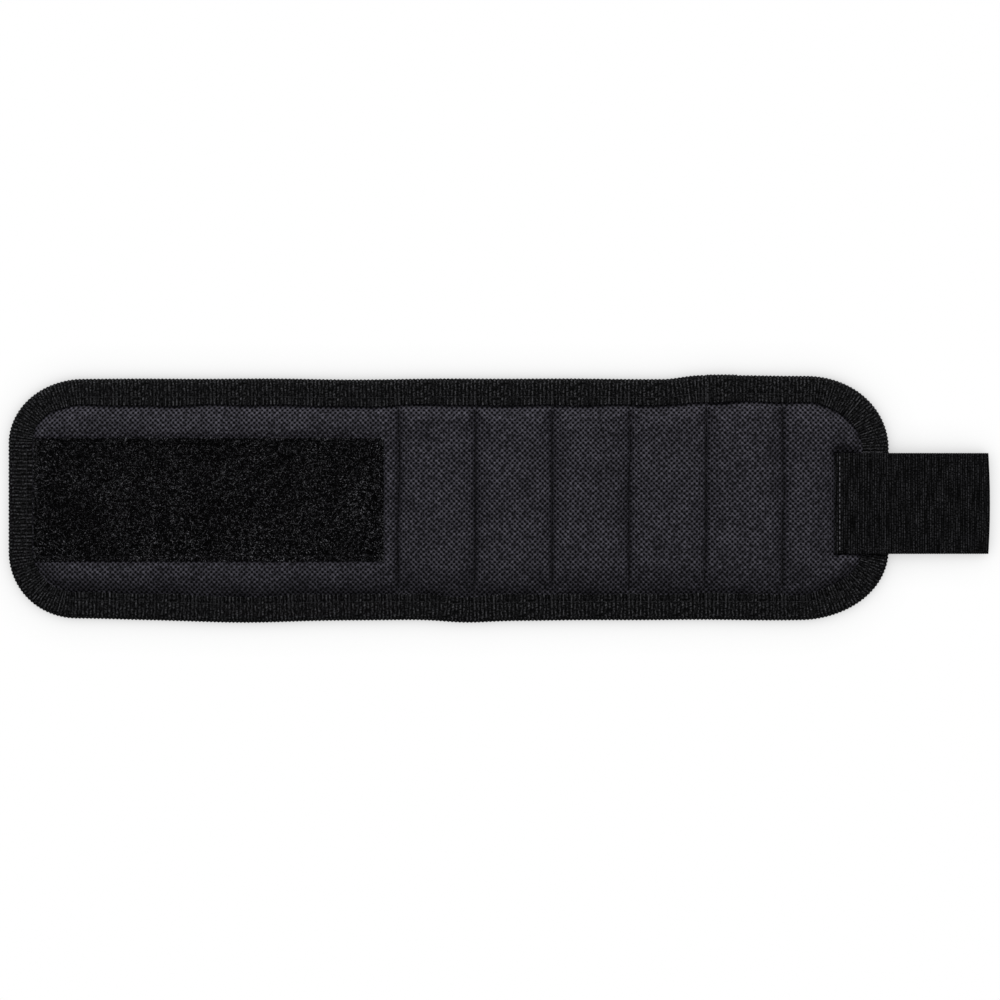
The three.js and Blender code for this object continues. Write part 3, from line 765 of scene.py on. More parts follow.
def slab(name, upper, under, finish):
    """A closed piece between two grids of points."""
    rows, columns = upper.shape[:2]
    count = rows * columns
    top = grid_faces(rows, columns)
    index = np.arange(count).reshape(rows, columns)
    border = np.concatenate([index[0, :-1], index[:-1, -1], index[-1, :0:-1], index[:0:-1, 0]])
    following = np.roll(border, -1)
    walls = np.stack([following, border, border + count, following + count], axis=1)
    faces = np.concatenate([top, top[:, ::-1] + count, walls])
    points = np.concatenate([upper.reshape(-1, 3), under.reshape(-1, 3)])
    piece = new_piece(name, points, [], faces.tolist())
    flat = piece.data.attributes.new("flat", "FLOAT_VECTOR", "POINT")
    flat.data.foreach_set("vector", points.astype(np.float32).ravel())
    piece.data.materials.append(finish)
    return smooth(piece, SLAB_SHARP)


SLAB_SHARP = 50


def follow(piece):
    """Bakes the piece's transform into its points; the piece stays where it was made."""
    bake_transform(piece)


def nodes_under(number, word):
    """The CAD nodes with a word in their name, on the two bodies that meet at a bend line."""
    groups = frame["record"]["behaviour"]["bodies"]
    return [node for body in BODIES[number:number + 2] for node in groups[body] if word in node]


# %% Front pieces
def columns_of(number):
    """The grid columns from one cut to the next, both cuts included."""
    return (column_x >= cut_x[number] - 0.001) & (column_x <= cut_x[number + 1] + 0.001)


fronts = []
for number in range(len(bend_x)):
    upper = front_points[:, columns_of(number)]
    fronts.append(slab(f"quilt_front_{number + 1}", upper, upper - [0, 0, CLOTH], front_cloth))
print("front pieces:", len(fronts), "with", len(fronts[0].data.polygons), "faces in the first")

# %% [markdown]
# ## The foam and its lining
# Behind the front lies a sheet of foam with a soft knit lining, which is the side that touches the
# wrist. Foam and lining are laminated before they are sewn, so one padded piece stands for both. Its
# upper side follows the front from below, and its under side is flat on the table except at the
# seams and the rim, where the stitches draw it up.

# %% Back pads
PAD_GAP = 0.15
backs = []
lining_pucker = LINING_PUCKER * pucker(grid_x, grid_y) * grid_full * (1 - grid_full)
under_z = LINING_LIFT * (1 - grid_full) - lining_pucker
under_points = joined(grid_x, grid_y, np.maximum(under_z, 0.0))
for number in range(len(bend_x)):
    upper = front_points[:, columns_of(number)] - [0, 0, CLOTH + PAD_GAP]
    under = under_points[:, columns_of(number)]
    backs.append(slab(f"quilt_back_{number + 1}", upper, under, back_lining))
print("back pads:", len(backs))

# %% [markdown]
# ## Geometry Nodes for tapes
# A tape is one cross-section carried along a path, with a rib at every pitch. That is a rule, so
# a node tree makes it: the path becomes a curve, the section is swept along it, and each point of
# an outer face moves out and in with a cosine of its distance along the path. The binding and the
# tab differ only in their path, their section and their rib pitch.

# %% Tree helpers
def new_tree(name, sizes):
    """A geometry tree with named inputs, and its group input node."""
    tree = bpy.data.node_groups.new(name, "GeometryNodeTree")
    tree.interface.new_socket("Geometry", in_out="INPUT", socket_type="NodeSocketGeometry")
    for size, kind in sizes.items():
        tree.interface.new_socket(size, in_out="INPUT", socket_type="NodeSocket" + kind)
    tree.interface.new_socket("Geometry", in_out="OUTPUT", socket_type="NodeSocketGeometry")
    return tree, add(tree, "NodeGroupInput").outputs


def grow(piece, tree, **sizes):
    """Runs a tree on a piece and keeps the result as a plain mesh. Sizes are named as its inputs."""
    modifier = piece.modifiers.new(tree.name, "NODES")
    modifier.node_group = tree
    for socket in tree.interface.items_tree:
        key = socket.name.lower().replace(" ", "_")
        if key in sizes:
            modifier[socket.identifier] = sizes[key]
    depsgraph = bpy.context.evaluated_depsgraph_get()
    grown = bpy.data.meshes.new_from_object(piece.evaluated_get(depsgraph))
    piece.modifiers.remove(modifier)
    piece.data = grown
    return piece


def path_piece(name, paths):
    """An object with one chain of edges for each path, in millimetres, ready to be grown on."""
    edges = []
    start = 0
    for path in paths:
        edges += [(start + i, start + i + 1) for i in range(len(path) - 1)]
        start += len(path)
    return new_piece(name, np.concatenate(paths), edges, [])


def close_tree(tree, shape, finish):
    """Ends a tree: every instance becomes real faces, in one finish."""
    real = add(tree, "GeometryNodeRealizeInstances", {"Geometry": shape})
    finished = add(tree, "GeometryNodeSetMaterial", {"Geometry": real, "Material": finish})
    add(tree, "NodeGroupOutput", {"Geometry": finished})


# %% Ribbed tape tree
tape_tree, given = new_tree("ribbed_tape", {
    "Section": "Object", "Rib Pitch": "Float", "Rib Height": "Float", "Finish": "Material"})
STATIONS_PER_RIB = 4
station_step = add(tape_tree, "ShaderNodeMath", {0: given["Rib Pitch"], 1: STATIONS_PER_RIB},
                   operation="DIVIDE")
path = add(tape_tree, "GeometryNodeMeshToCurve", {"Mesh": given["Geometry"]})
stations = add(tape_tree, "GeometryNodeResampleCurve", {"Curve": path, "Length": station_step},
               mode="LENGTH")
upright = add(tape_tree, "GeometryNodeSetCurveNormal", {"Curve": stations}, mode="Z_UP")
travel = add(tape_tree, "GeometryNodeSplineParameter").outputs["Length"]
marked = add(tape_tree, "GeometryNodeStoreNamedAttribute",
             {"Geometry": upright, "Name": "along", "Value": travel}, data_type="FLOAT", domain="POINT")
heading = add(tape_tree, "GeometryNodeInputTangent")
inward = add(tape_tree, "ShaderNodeVectorMath", {0: (0, 0, 1), 1: heading}, operation="CROSS_PRODUCT")
aimed = add(tape_tree, "GeometryNodeStoreNamedAttribute",
            {"Geometry": marked, "Name": "inward", "Value": inward},
            data_type="FLOAT_VECTOR", domain="POINT")
outline = add(tape_tree, "GeometryNodeObjectInfo", {"Object": given["Section"]}).outputs["Geometry"]
section = add(tape_tree, "GeometryNodeMeshToCurve", {"Mesh": outline})
swept = add(tape_tree, "GeometryNodeCurveToMesh",
            {"Curve": aimed, "Profile Curve": section, "Fill Caps": True})
along, across, ribbed, spread, leg = [
    add(tape_tree, "GeometryNodeInputNamedAttribute", {"Name": name}, data_type="FLOAT")
    for name in ("along", "across", "ribbed", "spread", "leg")]
ribs_passed = add(tape_tree, "ShaderNodeMath", {0: along, 1: given["Rib Pitch"]}, operation="DIVIDE")
rib_turn = add(tape_tree, "ShaderNodeMath", {0: ribs_passed, 1: 2 * math.pi}, operation="MULTIPLY")
rib_wave = add(tape_tree, "ShaderNodeMath", {0: rib_turn}, operation="COSINE")
rib_rise = add(tape_tree, "ShaderNodeMath", {0: rib_wave, 1: given["Rib Height"]}, operation="MULTIPLY")
outward = add(tape_tree, "ShaderNodeMath", {0: rib_rise, 1: ribbed}, operation="MULTIPLY")
normal = add(tape_tree, "GeometryNodeInputNormal")
shift = add(tape_tree, "ShaderNodeVectorMath", {0: normal, "Scale": outward}, operation="SCALE")
ribbed_skin = add(tape_tree, "GeometryNodeSetPosition", {"Geometry": swept, "Offset": shift})
reach_in = add(tape_tree, "ShaderNodeMath", {0: spread, 1: leg}, operation="MULTIPLY")
kept_inward = add(tape_tree, "GeometryNodeInputNamedAttribute", {"Name": "inward"},
                  data_type="FLOAT_VECTOR")
eased = add(tape_tree, "ShaderNodeVectorMath", {0: kept_inward, "Scale": reach_in}, operation="SCALE")
spread_skin = add(tape_tree, "GeometryNodeSetPosition", {"Geometry": ribbed_skin, "Offset": eased})
along_mm = add(tape_tree, "ShaderNodeMath", {0: along, 1: MM}, operation="DIVIDE")
flat_place = add(tape_tree, "ShaderNodeCombineXYZ", {"X": along_mm, "Y": across})
placed = add(tape_tree, "GeometryNodeStoreNamedAttribute",
             {"Geometry": spread_skin, "Name": "flat", "Value": flat_place},
             data_type="FLOAT_VECTOR", domain="POINT")
waved = add(tape_tree, "GeometryNodeStoreNamedAttribute",
            {"Geometry": placed, "Name": "rib", "Value": rib_wave}, data_type="FLOAT", domain="POINT")
close_tree(tape_tree, waved, given["Finish"])
print("tree:", tape_tree.name, "with", len(tape_tree.nodes), "nodes")

# %% [markdown]
# ## The binding
# A ribbed tape is folded over the raw edges of the quilt and sewn through, all the way round. Its
# section is a narrow C: a leg on the front, a round fold at the rim and a leg on the back. The needle
# presses a shallow groove into the front leg. Ribs lie across the tape, so they show as teeth on the
# outline.

# %% Binding section
TAPE = 0.6
RIB_PITCH = 1.42
RIB_HEIGHT = 0.17
STITCH_INSET = 7.0
STITCH_GROOVE = 0.22
GROOVE_WIDTH = 0.7
BACK_GROOVE = 0.5
LAP_SWELL = 0.35
BACK_SWELL = 0.3


def store(mesh, name, values):
    """Writes one number on each point of a mesh."""
    mesh.attributes.new(name, "FLOAT", "POINT").data.foreach_set("value", values.astype(np.float32))


def section_piece(name, outer, inner):
    """A tape's closed outline, as pairs of distance to the left of the path and height."""
    ring = np.concatenate([outer, inner])
    count = len(ring)
    mesh = bpy.data.meshes.new(name)
    places = [(-left * MM, -height * MM, 0) for left, height in ring]
    mesh.from_pydata(places, [(i, (i + 1) % count) for i in range(count)], [])
    steps = np.hypot(*np.diff(ring, axis=0, append=ring[:1]).T)
    store(mesh, "across", np.concatenate([[0], np.cumsum(steps)[:-1]]))
    store(mesh, "ribbed", np.arange(count) < len(outer))
    past_stitch = np.clip((ring[:, 0] - STITCH_INSET) / (TAPE_WIDTH - STITCH_INSET), 0, 1)
    store(mesh, "leg", np.where(ring[:, 1] > RIM_HIGH / 2, past_stitch, 0))
    return bpy.data.objects.new(name, mesh)


def binding_outline(swell):
    """The C section, grown outwards by swell for a second layer of tape."""
    # The points of a leg lie closer together beside the stitch groove.
    legs = np.array([TAPE_WIDTH, 8.6, 8.0, 7.5, STITCH_INSET, 6.5, 6.0, 5.0, 3.5, 2.4])
    groove = STITCH_GROOVE * np.exp(-((legs - STITCH_INSET) / GROOVE_WIDTH) ** 2)
    turns = np.linspace(0, np.pi, 9)
    middle = RIM_HIGH / 2
    sides = []
    for inward, order in ((0.0, 1), (TAPE, -1)):
        reach = middle - inward + swell * (1 - (1 - BACK_SWELL) * turns / np.pi)
        front_leg = joined(legs, 2 * middle + swell - inward - groove)
        fold = joined(middle - reach * np.sin(turns), middle + reach * np.cos(turns))
        back_leg = joined(legs, inward - BACK_SWELL * swell + BACK_GROOVE * groove)[::-1]
        sides.append(np.concatenate([front_leg, fold, back_leg])[::order])
    return sides


binding_section = section_piece("binding_section", *binding_outline(0.0))
lap_section = section_piece("binding_lap_section", *binding_outline(LAP_SWELL))
print("section points:", len(binding_section.data.vertices))

# %% Paths along the rim
CORNER_POINTS = 40
STRAIGHT_POINTS = 30
MIDDLE_POINTS = 60


def rim_paths(number, inset, height):
    """The paths along the rim between two cuts, with the band always on the left."""
    first, last = cut_x[number], cut_x[number + 1]
    bow = 1 - np.cos(np.linspace(0, np.pi / 2, CORNER_POINTS))
    if number == 0:
        bend = BAND_START + inset + (LOOP_UPPER_CORNER[0] - inset) * bow
        x = np.concatenate([bend, np.linspace(bend[-1], last, STRAIGHT_POINTS)[1:]])
    elif number == len(bend_x) - 1:
        bend = BAND_END - inset - (TAB_LOWER_CORNER[0] - inset) * bow[::-1]
        x = np.concatenate([np.linspace(first, bend[0], STRAIGHT_POINTS)[:-1], bend])
    else:
        x = np.linspace(first, last, MIDDLE_POINTS)
    lower = joined(x, -half_width(x, inset, False), height)
    upper = joined(x, half_width(x, inset, True), height)[::-1]
    if number == 0:
        return [np.concatenate([upper, lower])]
    if number == len(bend_x) - 1:
        return [np.concatenate([lower, upper])]
    return [lower, upper]


def path_length(path):
    return np.linalg.norm(np.diff(path, axis=0), axis=1).sum()


def fitted_pitch(length, pitch):
    """The pitch nearest to the wanted one that goes into a length a whole number of times."""
    return length / round(length / pitch)


# %% Binding pieces
GROWN_SHARP = 60


def bind(name, paths, section, length):
    """A tape along paths on the rim. A whole number of ribs goes into the length."""
    tape = path_piece(name, paths)
    x, y, _ = np.concatenate(paths).T
    store(tape.data, "spread", tape_spread(x, y) * MM)
    grow(tape, tape_tree, section=section, rib_pitch=fitted_pitch(length, RIB_PITCH) * MM,
         rib_height=RIB_HEIGHT * MM, finish=binding_tape)
    return smooth(tape, GROWN_SHARP)


bindings = []
for number in range(len(bend_x)):
    paths = rim_paths(number, 0.0, 0.0)
    bindings.append(bind(f"binding_{number + 1}", paths, binding_section, path_length(paths[0])))
print("binding pieces:", len(bindings), "with", sum(len(b.data.polygons) for b in bindings), "faces")

# %% [markdown]
# ### Where the tape ends meet
# The tape goes round once, and its last centimetre lies over its beginning. The second layer makes
# a low step in the upper edge near the fifth pocket.

# %% Lap of the binding
LAP_START = 78.6
LAP_LENGTH = 11.0
lap_x = np.linspace(LAP_START + LAP_LENGTH, LAP_START, 20)
lap_path = joined(lap_x, half_width(lap_x, 0.0, True), 0.0)
binding_lap = bind("binding_lap", [lap_path], lap_section, LAP_LENGTH)
print("lap faces:", len(binding_lap.data.polygons))

# %% [markdown]
# ## The loop patch
# The loop half of the fastener is a knitted ground with thousands of brushed loops. The ground is a
# thin closed sheet on the cloth. The loops are a job for Geometry Nodes: points are scattered on
# the ground with a fixed seed, none closer to another than the spacing, and one small arch of yarn
# stands on each, turned and tilted at random.
# Real loops are finer and denser than the picture can show, so these are fewer and thicker.

# %% Patch ground
GROUND = 0.55
GROUND_LIFT = 0.05
PATCH_ROWS = 40
PATCH_SPANS = 3
patch_y = np.linspace(patch_low[1], patch_high[1], PATCH_ROWS)
grounds = []
ground_tops = []
for number in range(PATCH_SPANS):
    first = max(cut_x[number], patch_low[0])
    last = patch_high[0] if number == PATCH_SPANS - 1 else cut_x[number + 1]
    across_x = np.linspace(first, last, round((last - first) / COARSE_STEP) + 1)
    x, y = np.meshgrid(across_x, patch_y)
    under = joined(x, y, cloth_z(x, y) + GROUND_LIFT)
    upper = under + [0, 0, GROUND]
    grounds.append(slab(f"loop_ground_{number + 1}", upper, under, loop_ground))
    ground_tops.append(upper)
print("patch ground pieces:", len(grounds))

# %% Yarn and the pile tree
def yarn_arch(tree, width, yarn, sides, **arc):
    """A tube of yarn, with a number of sides, bent to an arch of a width; and half that width."""
    half_arch, half_yarn = [add(tree, "ShaderNodeMath", {0: size, 1: 2.0}, operation="DIVIDE")
                            for size in (width, yarn)]
    settings = {name.replace("_", " "): value for name, value in arc.items()}
    arch = add(tree, "GeometryNodeCurveArc", {"Radius": half_arch, **settings})
    yarn_round = add(tree, "GeometryNodeCurvePrimitiveCircle", {"Resolution": sides, "Radius": half_yarn})
    tube = add(tree, "GeometryNodeCurveToMesh",
               {"Curve": arch, "Profile Curve": yarn_round, "Fill Caps": True})
    return tube, half_arch


pile_tree, given = new_tree("loop_pile", {
    "Spacing": "Float", "Tries": "Float", "Loop Width": "Float", "Loop Height": "Float",
    "Yarn": "Float", "Seed": "Int", "Finish": "Material"})
spots = add(pile_tree, "GeometryNodeDistributePointsOnFaces",
            {"Mesh": given["Geometry"], "Distance Min": given["Spacing"], "Density Max": given["Tries"],
             "Seed": given["Seed"]}, distribute_method="POISSON")
arch_tube, half_loop = yarn_arch(pile_tree, given["Loop Width"], given["Yarn"], sides=3, Resolution=4,
                                 Start_Angle=-0.4, Sweep_Angle=math.pi + 0.8)
tallness = add(pile_tree, "ShaderNodeMath", {0: given["Loop Height"], 1: half_loop}, operation="DIVIDE")
stretch = add(pile_tree, "ShaderNodeCombineXYZ", {"X": 1.0, "Y": tallness, "Z": 1.0})
standing = add(pile_tree, "GeometryNodeTransform",
               {"Geometry": arch_tube, "Rotation": (math.pi / 2, 0, 0), "Scale": stretch})
LOOP_TILT = 0.75
SMALLEST_LOOP = 0.65
LARGEST_LOOP = 1.2
turn = add(pile_tree, "FunctionNodeRandomValue",
           {0: (-LOOP_TILT, -LOOP_TILT, 0.0), 1: (LOOP_TILT, LOOP_TILT, 2 * math.pi), "Seed": 11},
           data_type="FLOAT_VECTOR")
size = add(pile_tree, "FunctionNodeRandomValue", {2: SMALLEST_LOOP, 3: LARGEST_LOOP, "Seed": 12},
           data_type="FLOAT")
loops = add(pile_tree, "GeometryNodeInstanceOnPoints",
            {"Points": spots, "Instance": standing, "Rotation": turn, "Scale": size.outputs[1]})
# A random number for each loop: the finish paints a highlight on the few loops where it is high.
shade = add(pile_tree, "FunctionNodeRandomValue", {2: 0.0, 3: 1.0, "Seed": 13}, data_type="FLOAT")
shaded = add(pile_tree, "GeometryNodeStoreNamedAttribute",
             {"Geometry": loops, "Name": "fibre", "Value": shade.outputs[1]},
             data_type="FLOAT", domain="INSTANCE")
close_tree(pile_tree, shaded, given["Finish"])
print("tree:", pile_tree.name, "with", len(pile_tree.nodes), "nodes")

# %% Pile pieces
LOOP_SPACING = 0.38
TRIES_PER_MM2 = 30
LOOP_WIDTH = 0.5
LOOP_HEIGHT = 0.8
LOOP_YARN = 0.15
piles = []
for number, upper in enumerate(ground_tops):
    faces = grid_faces(*upper.shape[:2])
    pile = new_piece(f"loop_pile_{number + 1}", upper.reshape(-1, 3), [], faces.tolist())
    grow(pile, pile_tree, spacing=LOOP_SPACING * MM, tries=TRIES_PER_MM2 / MM ** 2, seed=number + 1,
         loop_width=LOOP_WIDTH * MM, loop_height=LOOP_HEIGHT * MM, yarn=LOOP_YARN * MM, finish=loop_pile)
    piles.append(pile)
print("pile faces:", [len(pile.data.polygons) for pile in piles])

# %% [markdown]
# ## The tab
# A short length of ribbed webbing is sewn onto the end of the band. It lies on the cloth, climbs over
# the binding, and reaches out past the rim. The same tape tree makes it, with a flat section and finer
# ribs that run across the tab.

# %% Tab webbing
TAB_THICK = 1.2
TAB_RIB_PITCH = 0.9
TAB_RIB_HEIGHT = 0.06
TAB_EDGE_ROUND = 0.25
TAB_CLEARANCE = 0.3
CLIMB_START = 3.0
CLIMB_END = 0.4
LEVEL_PAST_BEND = 1.5
SOFTENED_OVER = 9
TAB_POINTS = 240
flap_low, flap_high = box_mm("tab_flap")
TAB_HALF = (lap_high[1] - lap_low[1]) / 2
TAB_MIDDLE = (lap_high[1] + lap_low[1]) / 2
tape_inner_x = BAND_END - TAPE_WIDTH
lap_level = lap_low[2] + TAB_THICK / 2
rim_level = RIM_HIGH + TAB_CLEARANCE + TAB_THICK / 2
tip_level = flap_low[2] + TAB_THICK / 2
tab_knots = np.array([[webbing_low[0], lap_level],
                      [tape_inner_x - CLIMB_START, lap_level],
                      [tape_inner_x - CLIMB_END, rim_level],
                      [tab_bend_x + LEVEL_PAST_BEND, rim_level],
                      [flap_high[0], tip_level]])
knot_x = np.linspace(webbing_low[0], flap_high[0], TAB_POINTS)
knot_z = np.interp(knot_x, *tab_knots.T)
padded_z = np.pad(knot_z, SOFTENED_OVER // 2, mode="edge")
softened = np.convolve(padded_z, np.full(SOFTENED_OVER, 1 / SOFTENED_OVER), mode="valid")
tab_path = joined(knot_x, TAB_MIDDLE, softened)

across_y = np.array([TAB_HALF - TAB_EDGE_ROUND, TAB_HALF * 0.97, *np.linspace(0.9, -0.9, 7) * TAB_HALF,
                     -TAB_HALF * 0.97, -TAB_HALF + TAB_EDGE_ROUND])
top_face = joined(across_y, TAB_THICK / 2)
left_edge = [(TAB_HALF, TAB_THICK / 4), (TAB_HALF, -TAB_THICK / 4)]
right_edge = [(-TAB_HALF, TAB_THICK / 4), (-TAB_HALF, -TAB_THICK / 4)]
under_face = joined(across_y[::-1], -TAB_THICK / 2)
tab_ring = np.concatenate([top_face, right_edge, under_face, left_edge[::-1]])
tab_section = section_piece("tab_section", tab_ring, np.empty((0, 2)))
tab_tape = path_piece("tab_tape", [tab_path])
tab_pitch = fitted_pitch(path_length(tab_path), TAB_RIB_PITCH)
grow(tab_tape, tape_tree, section=tab_section, rib_pitch=tab_pitch * MM, rib_height=TAB_RIB_HEIGHT * MM,
     finish=tab_webbing)

# The cut end bows out a little in the middle.
TIP_BOW = 0.6
TIP_REACH = 6.0
tab_points = np.empty(3 * len(tab_tape.data.vertices), dtype=np.float32)
tab_tape.data.vertices.foreach_get("co", tab_points)
tab_points = tab_points.reshape(-1, 3)
near_tip = ease(1 - (flap_high[0] - tab_points[:, 0] / MM) / TIP_REACH)
off_middle = (tab_points[:, 1] / MM - TAB_MIDDLE) / TAB_HALF
tab_points[:, 0] -= TIP_BOW * MM * near_tip * off_middle ** 2
tab_tape.data.vertices.foreach_set("co", tab_points.ravel())
smooth(tab_tape, GROWN_SHARP)
print("tab faces:", len(tab_tape.data.polygons))

# %% [markdown]
# ### Hooks under the tab
# The hook half of the fastener is sewn to the under side of the tab: a stiff woven strip with rows of
# small nylon hooks. A grid of points carries one open arch each, which faces forward or back at random,
# with a fixed seed.

# %% Hook strip and hook tree
hook_low, hook_high = box_mm("hook_patch")
HOOK_GROUND = 0.5
HOOK_GROUND_GAP = 0.12
HOOK_ROW = 1.4
HOOK_WIDTH = 0.55
HOOK_YARN = 0.17
HOOK_STANDS_OUT = 0.25
FIRST_HOOK = 1.5
LAST_HOOK = 1.0
STRIP_COLUMNS = 28
STRIP_ROWS = 24


def tab_under(x):
    """The height of the tab's under side."""
    return np.interp(x, tab_path[:, 0], tab_path[:, 2]) - TAB_THICK / 2


strip_x, strip_y = np.meshgrid(np.linspace(hook_low[0], hook_high[0], STRIP_COLUMNS),
                               np.linspace(hook_low[1], hook_high[1], STRIP_ROWS))
strip_top = joined(strip_x, strip_y, tab_under(strip_x) - HOOK_GROUND_GAP)
hook_ground = slab("hook_ground", strip_top, strip_top - [0, 0, HOOK_GROUND], tab_webbing)

hook_tree, given = new_tree("hook_rows", {
    "Hook Width": "Float", "Yarn": "Float", "Seed": "Int", "Finish": "Material"})
hook_tube, _ = yarn_arch(hook_tree, given["Hook Width"], given["Yarn"], sides=4, Resolution=7,
                         Start_Angle=-0.9, Sweep_Angle=3.7)
hanging = add(hook_tree, "GeometryNodeTransform",
              {"Geometry": hook_tube, "Rotation": (-math.pi / 2, 0, 0), "Scale": (1.0, 1.25, 1.0)})
facing = add(hook_tree, "FunctionNodeRandomValue", {4: 0, 5: 1, "Seed": given["Seed"]}, data_type="INT")
half_turn = add(hook_tree, "ShaderNodeMath", {0: facing.outputs[2], 1: math.pi}, operation="MULTIPLY")
HOOK_LEAN = np.array([0.15, 0.15, 0.35])
lean = add(hook_tree, "FunctionNodeRandomValue", {0: -HOOK_LEAN, 1: HOOK_LEAN, "Seed": 5},
           data_type="FLOAT_VECTOR")
spun = add(hook_tree, "ShaderNodeCombineXYZ", {"Z": half_turn})
turn = add(hook_tree, "ShaderNodeVectorMath", {0: spun, 1: lean}, operation="ADD")
hooks = add(hook_tree, "GeometryNodeInstanceOnPoints",
            {"Points": given["Geometry"], "Instance": hanging, "Rotation": turn})
close_tree(hook_tree, hooks, given["Finish"])

hook_rows = [np.arange(hook_low[axis] + FIRST_HOOK, hook_high[axis] - LAST_HOOK, HOOK_ROW)
             for axis in (0, 1)]
hook_x, hook_y = np.meshgrid(*hook_rows)
hook_z = tab_under(hook_x) - HOOK_GROUND_GAP - HOOK_GROUND - HOOK_STANDS_OUT
hook_field = path_piece("hook_field", [joined(hook_x, hook_y, hook_z).reshape(-1, 3)])
grow(hook_field, hook_tree, hook_width=HOOK_WIDTH * MM, yarn=HOOK_YARN * MM, seed=3, finish=hook_nylon)
smooth(hook_field, GROWN_SHARP)
print("hooks:", hook_x.size, "with", len(hook_field.data.polygons), "faces")

# %% [markdown]
# ## Stitches
# Every seam is a lockstitch: a row of short threads, each of which dives into the cloth at both ends.
# A stitch repeats along a path, so a tree places one flattened bead of thread at every pitch and
# turns it along the path. The same tree sews the pockets, the binding, the patch and the tab.

# %% Stitch tree
stitch_tree, given = new_tree("stitch_row", {"Pitch": "Float", "Thread": "Float", "Finish": "Material"})
path = add(stitch_tree, "GeometryNodeMeshToCurve", {"Mesh": given["Geometry"]})
needle_holes = add(stitch_tree, "GeometryNodeResampleCurve", {"Curve": path, "Length": given["Pitch"]},
                   mode="LENGTH")
bead = add(stitch_tree, "GeometryNodeMeshUVSphere", {"Segments": 6, "Rings": 5, "Radius": 0.5})
STITCH_SHARE = 0.86
bead_length = add(stitch_tree, "ShaderNodeMath", {0: given["Pitch"], 1: STITCH_SHARE},
                  operation="MULTIPLY")
bead_size = add(stitch_tree, "ShaderNodeCombineXYZ",
                {"X": bead_length, "Y": given["Thread"], "Z": given["Thread"]})
stitch = add(stitch_tree, "GeometryNodeTransform", {"Geometry": bead, "Scale": bead_size})
tangent = add(stitch_tree, "GeometryNodeInputTangent")
turn = add(stitch_tree, "FunctionNodeAlignRotationToVector", {"Vector": tangent}, axis="X")
stitches = add(stitch_tree, "GeometryNodeInstanceOnPoints",
               {"Points": needle_holes, "Instance": stitch, "Rotation": turn})
close_tree(stitch_tree, stitches, given["Finish"])
THREAD = 0.42


def sew(name, paths, pitch, finish):
    """A row of stitches along each path."""
    row = path_piece(name, paths)
    grow(row, stitch_tree, pitch=pitch * MM, thread=THREAD * MM, finish=finish)
    return smooth(row, GROWN_SHARP)


# %% Seam and binding stitches
SEAM_POINTS = 80
SEAM_UNDER_TAPE = 1.0
SEAM_THREAD_RISE = 0.08
BACK_THREAD_SINK = 0.1
BINDING_THREAD_RISE = 0.1
BINDING_BACK_THREAD = -0.02
seam_rows = []
for number, line in enumerate(bend_x):
    if line not in seam_x:
        continue
    reach = half_width(np.array([line]), TAPE_WIDTH - SEAM_UNDER_TAPE, False)[0]
    y = np.linspace(-reach, reach, SEAM_POINTS)
    x = seam_place(seam_x.index(line), y)
    front_row = joined(x, y, cloth_z(x, y) + SEAM_THREAD_RISE)
    back_row = joined(x, y, LINING_LIFT - BACK_THREAD_SINK)
    row = sew(f"seam_thread_{len(seam_rows) + 1}", [front_row, back_row], STITCH_PITCH, thread)
    seam_rows.append((row, number))

binding_rows = []
groove_level = RIM_HIGH - STITCH_GROOVE + BINDING_THREAD_RISE
for number in range(len(bend_x)):
    front_paths = rim_paths(number, STITCH_INSET, groove_level)
    paths = front_paths + rim_paths(number, STITCH_INSET, BINDING_BACK_THREAD)
    binding_rows.append(sew(f"binding_thread_{number + 1}", paths, STITCH_PITCH, thread))
print("stitch rows:", len(seam_rows), "seams and", len(binding_rows), "binding pieces")

# %% Patch and tab stitches
ROUTE_POINTS = 40
PATCH_STITCH_INSET = 1.6
PATCH_THREAD_RISE = 0.15
patch_level = GROUND_LIFT + GROUND + PATCH_THREAD_RISE
patch_rows = []
for number, upper in enumerate(ground_tops):
    first = upper[0, 0, 0] + (PATCH_STITCH_INSET if number == 0 else 0)
    last = upper[0, -1, 0] - (PATCH_STITCH_INSET if number == PATCH_SPANS - 1 else 0)
    x = np.linspace(first, last, ROUTE_POINTS)
    side = patch_high[1] - PATCH_STITCH_INSET
    routes = [(x, np.full_like(x, side)), (x, np.full_like(x, -side))]
    y = np.linspace(-side, side, ROUTE_POINTS)
    if number == 0:
        routes.append((np.full_like(y, first), y))
    if number == PATCH_SPANS - 1:
        routes.append((np.full_like(y, last), y))
    paths = [joined(a, b, cloth_z(a, b) + patch_level) for a, b in routes]
    patch_rows.append(sew(f"patch_thread_{number + 1}", paths, STITCH_PITCH, thread))

TAB_STITCH_INSET = 1.9
TAB_THREAD_RISE = 0.06
TAB_END_INSET = 1.8
TAB_END_PITCH = 1.9


def on_tab(x, y):
    """Points on the upper side of the tab, with the thread a little proud of it."""
    level = np.interp(x, tab_path[:, 0], tab_path[:, 2]) + TAB_THICK / 2 + TAB_THREAD_RISE
    return joined(x, y, level)


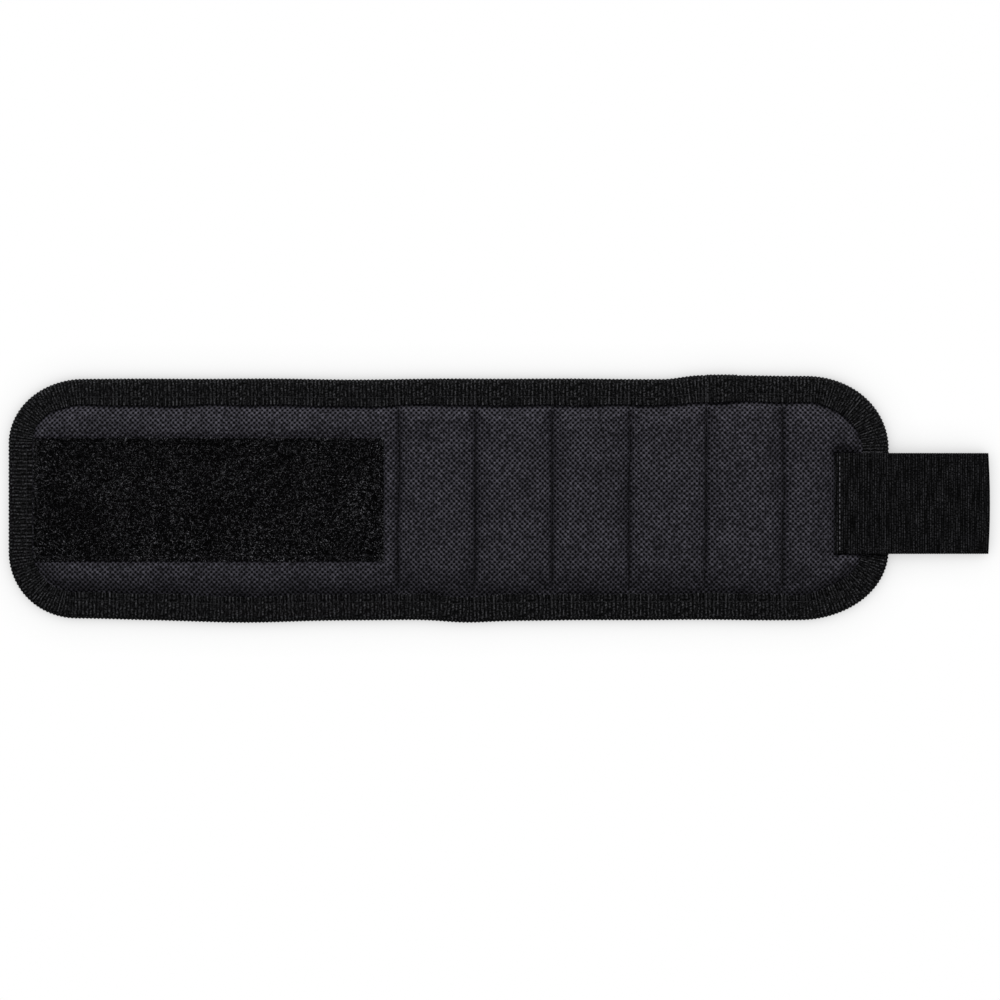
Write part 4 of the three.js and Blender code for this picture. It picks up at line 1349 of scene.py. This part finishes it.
box_start = webbing_low[0] + TAB_END_INSET
box_end = BAND_END - TAB_STITCH_INSET
y = np.linspace(lap_low[1] + TAB_STITCH_INSET, lap_high[1] - TAB_STITCH_INSET, ROUTE_POINTS)
x = np.linspace(box_start, box_end, ROUTE_POINTS)
tab_rows = sew("tab_thread", [
    on_tab(box_end, y), on_tab(x, y[0]), on_tab(x, y[-1])], STITCH_PITCH, thread)
tab_end_row = sew("tab_end_thread", [on_tab(box_start, y)], TAB_END_PITCH, pale_thread)
print("patch and tab rows:", len(patch_rows) + 2)

# %% [markdown]
# ## Tying the pieces to the frame
# Each piece has its transform baked in and stands for the solids it covers, which are hidden. The
# tab's stitches are attached to the end panel, and the hook strip and its hooks to the tab.

# %% Front, back and binding
for number in range(len(bend_x)):
    front, back, binding, row = fronts[number], backs[number], bindings[number], binding_rows[number]
    for piece in (front, back, binding, row):
        follow(piece)
    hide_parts(*nodes_under(number, "_front"))
    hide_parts(*nodes_under(number, "back_pad"))
    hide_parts(*nodes_under(number, "binding"))
print("tied:", len(fronts) + len(backs) + len(bindings), "main pieces")

# %% Patch, seams, lap and tab
for number in range(PATCH_SPANS):
    for piece in (grounds[number], piles[number], patch_rows[number]):
        follow(piece)
    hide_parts(*nodes_under(number, "loop_patch"))
    size = np.ptp(ground_tops[number].reshape(-1, 3), axis=0) * MM
for row, number in seam_rows:
    follow(row)
follow(binding_lap)

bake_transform(tab_tape)
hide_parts("tab_lap", "tab_flap")
for row in (tab_rows, tab_end_row):
    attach(row, "end_panel")
for piece in (hook_ground, hook_field):
    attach(piece, "tab")
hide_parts("hook_patch")

# %% [markdown]
# ## The magnets
# The magnets keep their CAD solids, because a plain block with rounded corners is what they are. They
# only need their nickel finish.

# %% Magnet finish
magnets = [node for name, node in frame["nodes"].items() if name.startswith("magnet")]
for magnet in magnets:
    magnet.data.materials.clear()
    magnet.data.materials.append(nickel)
print("magnets:", len(magnets))

# %% [markdown]
# ## Last look at the size
# Cloth may stand a little proud of the solids, and no more. How far it stands past both boxes is printed.

# %% How far the pieces grew past the solids
new_low, new_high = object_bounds()
grown_low = (np.array(cad_low) - new_low) / MM
grown_high = (np.array(new_high) - cad_high) / MM
print("grown by:", np.round(grown_low, 2), np.round(grown_high, 2))
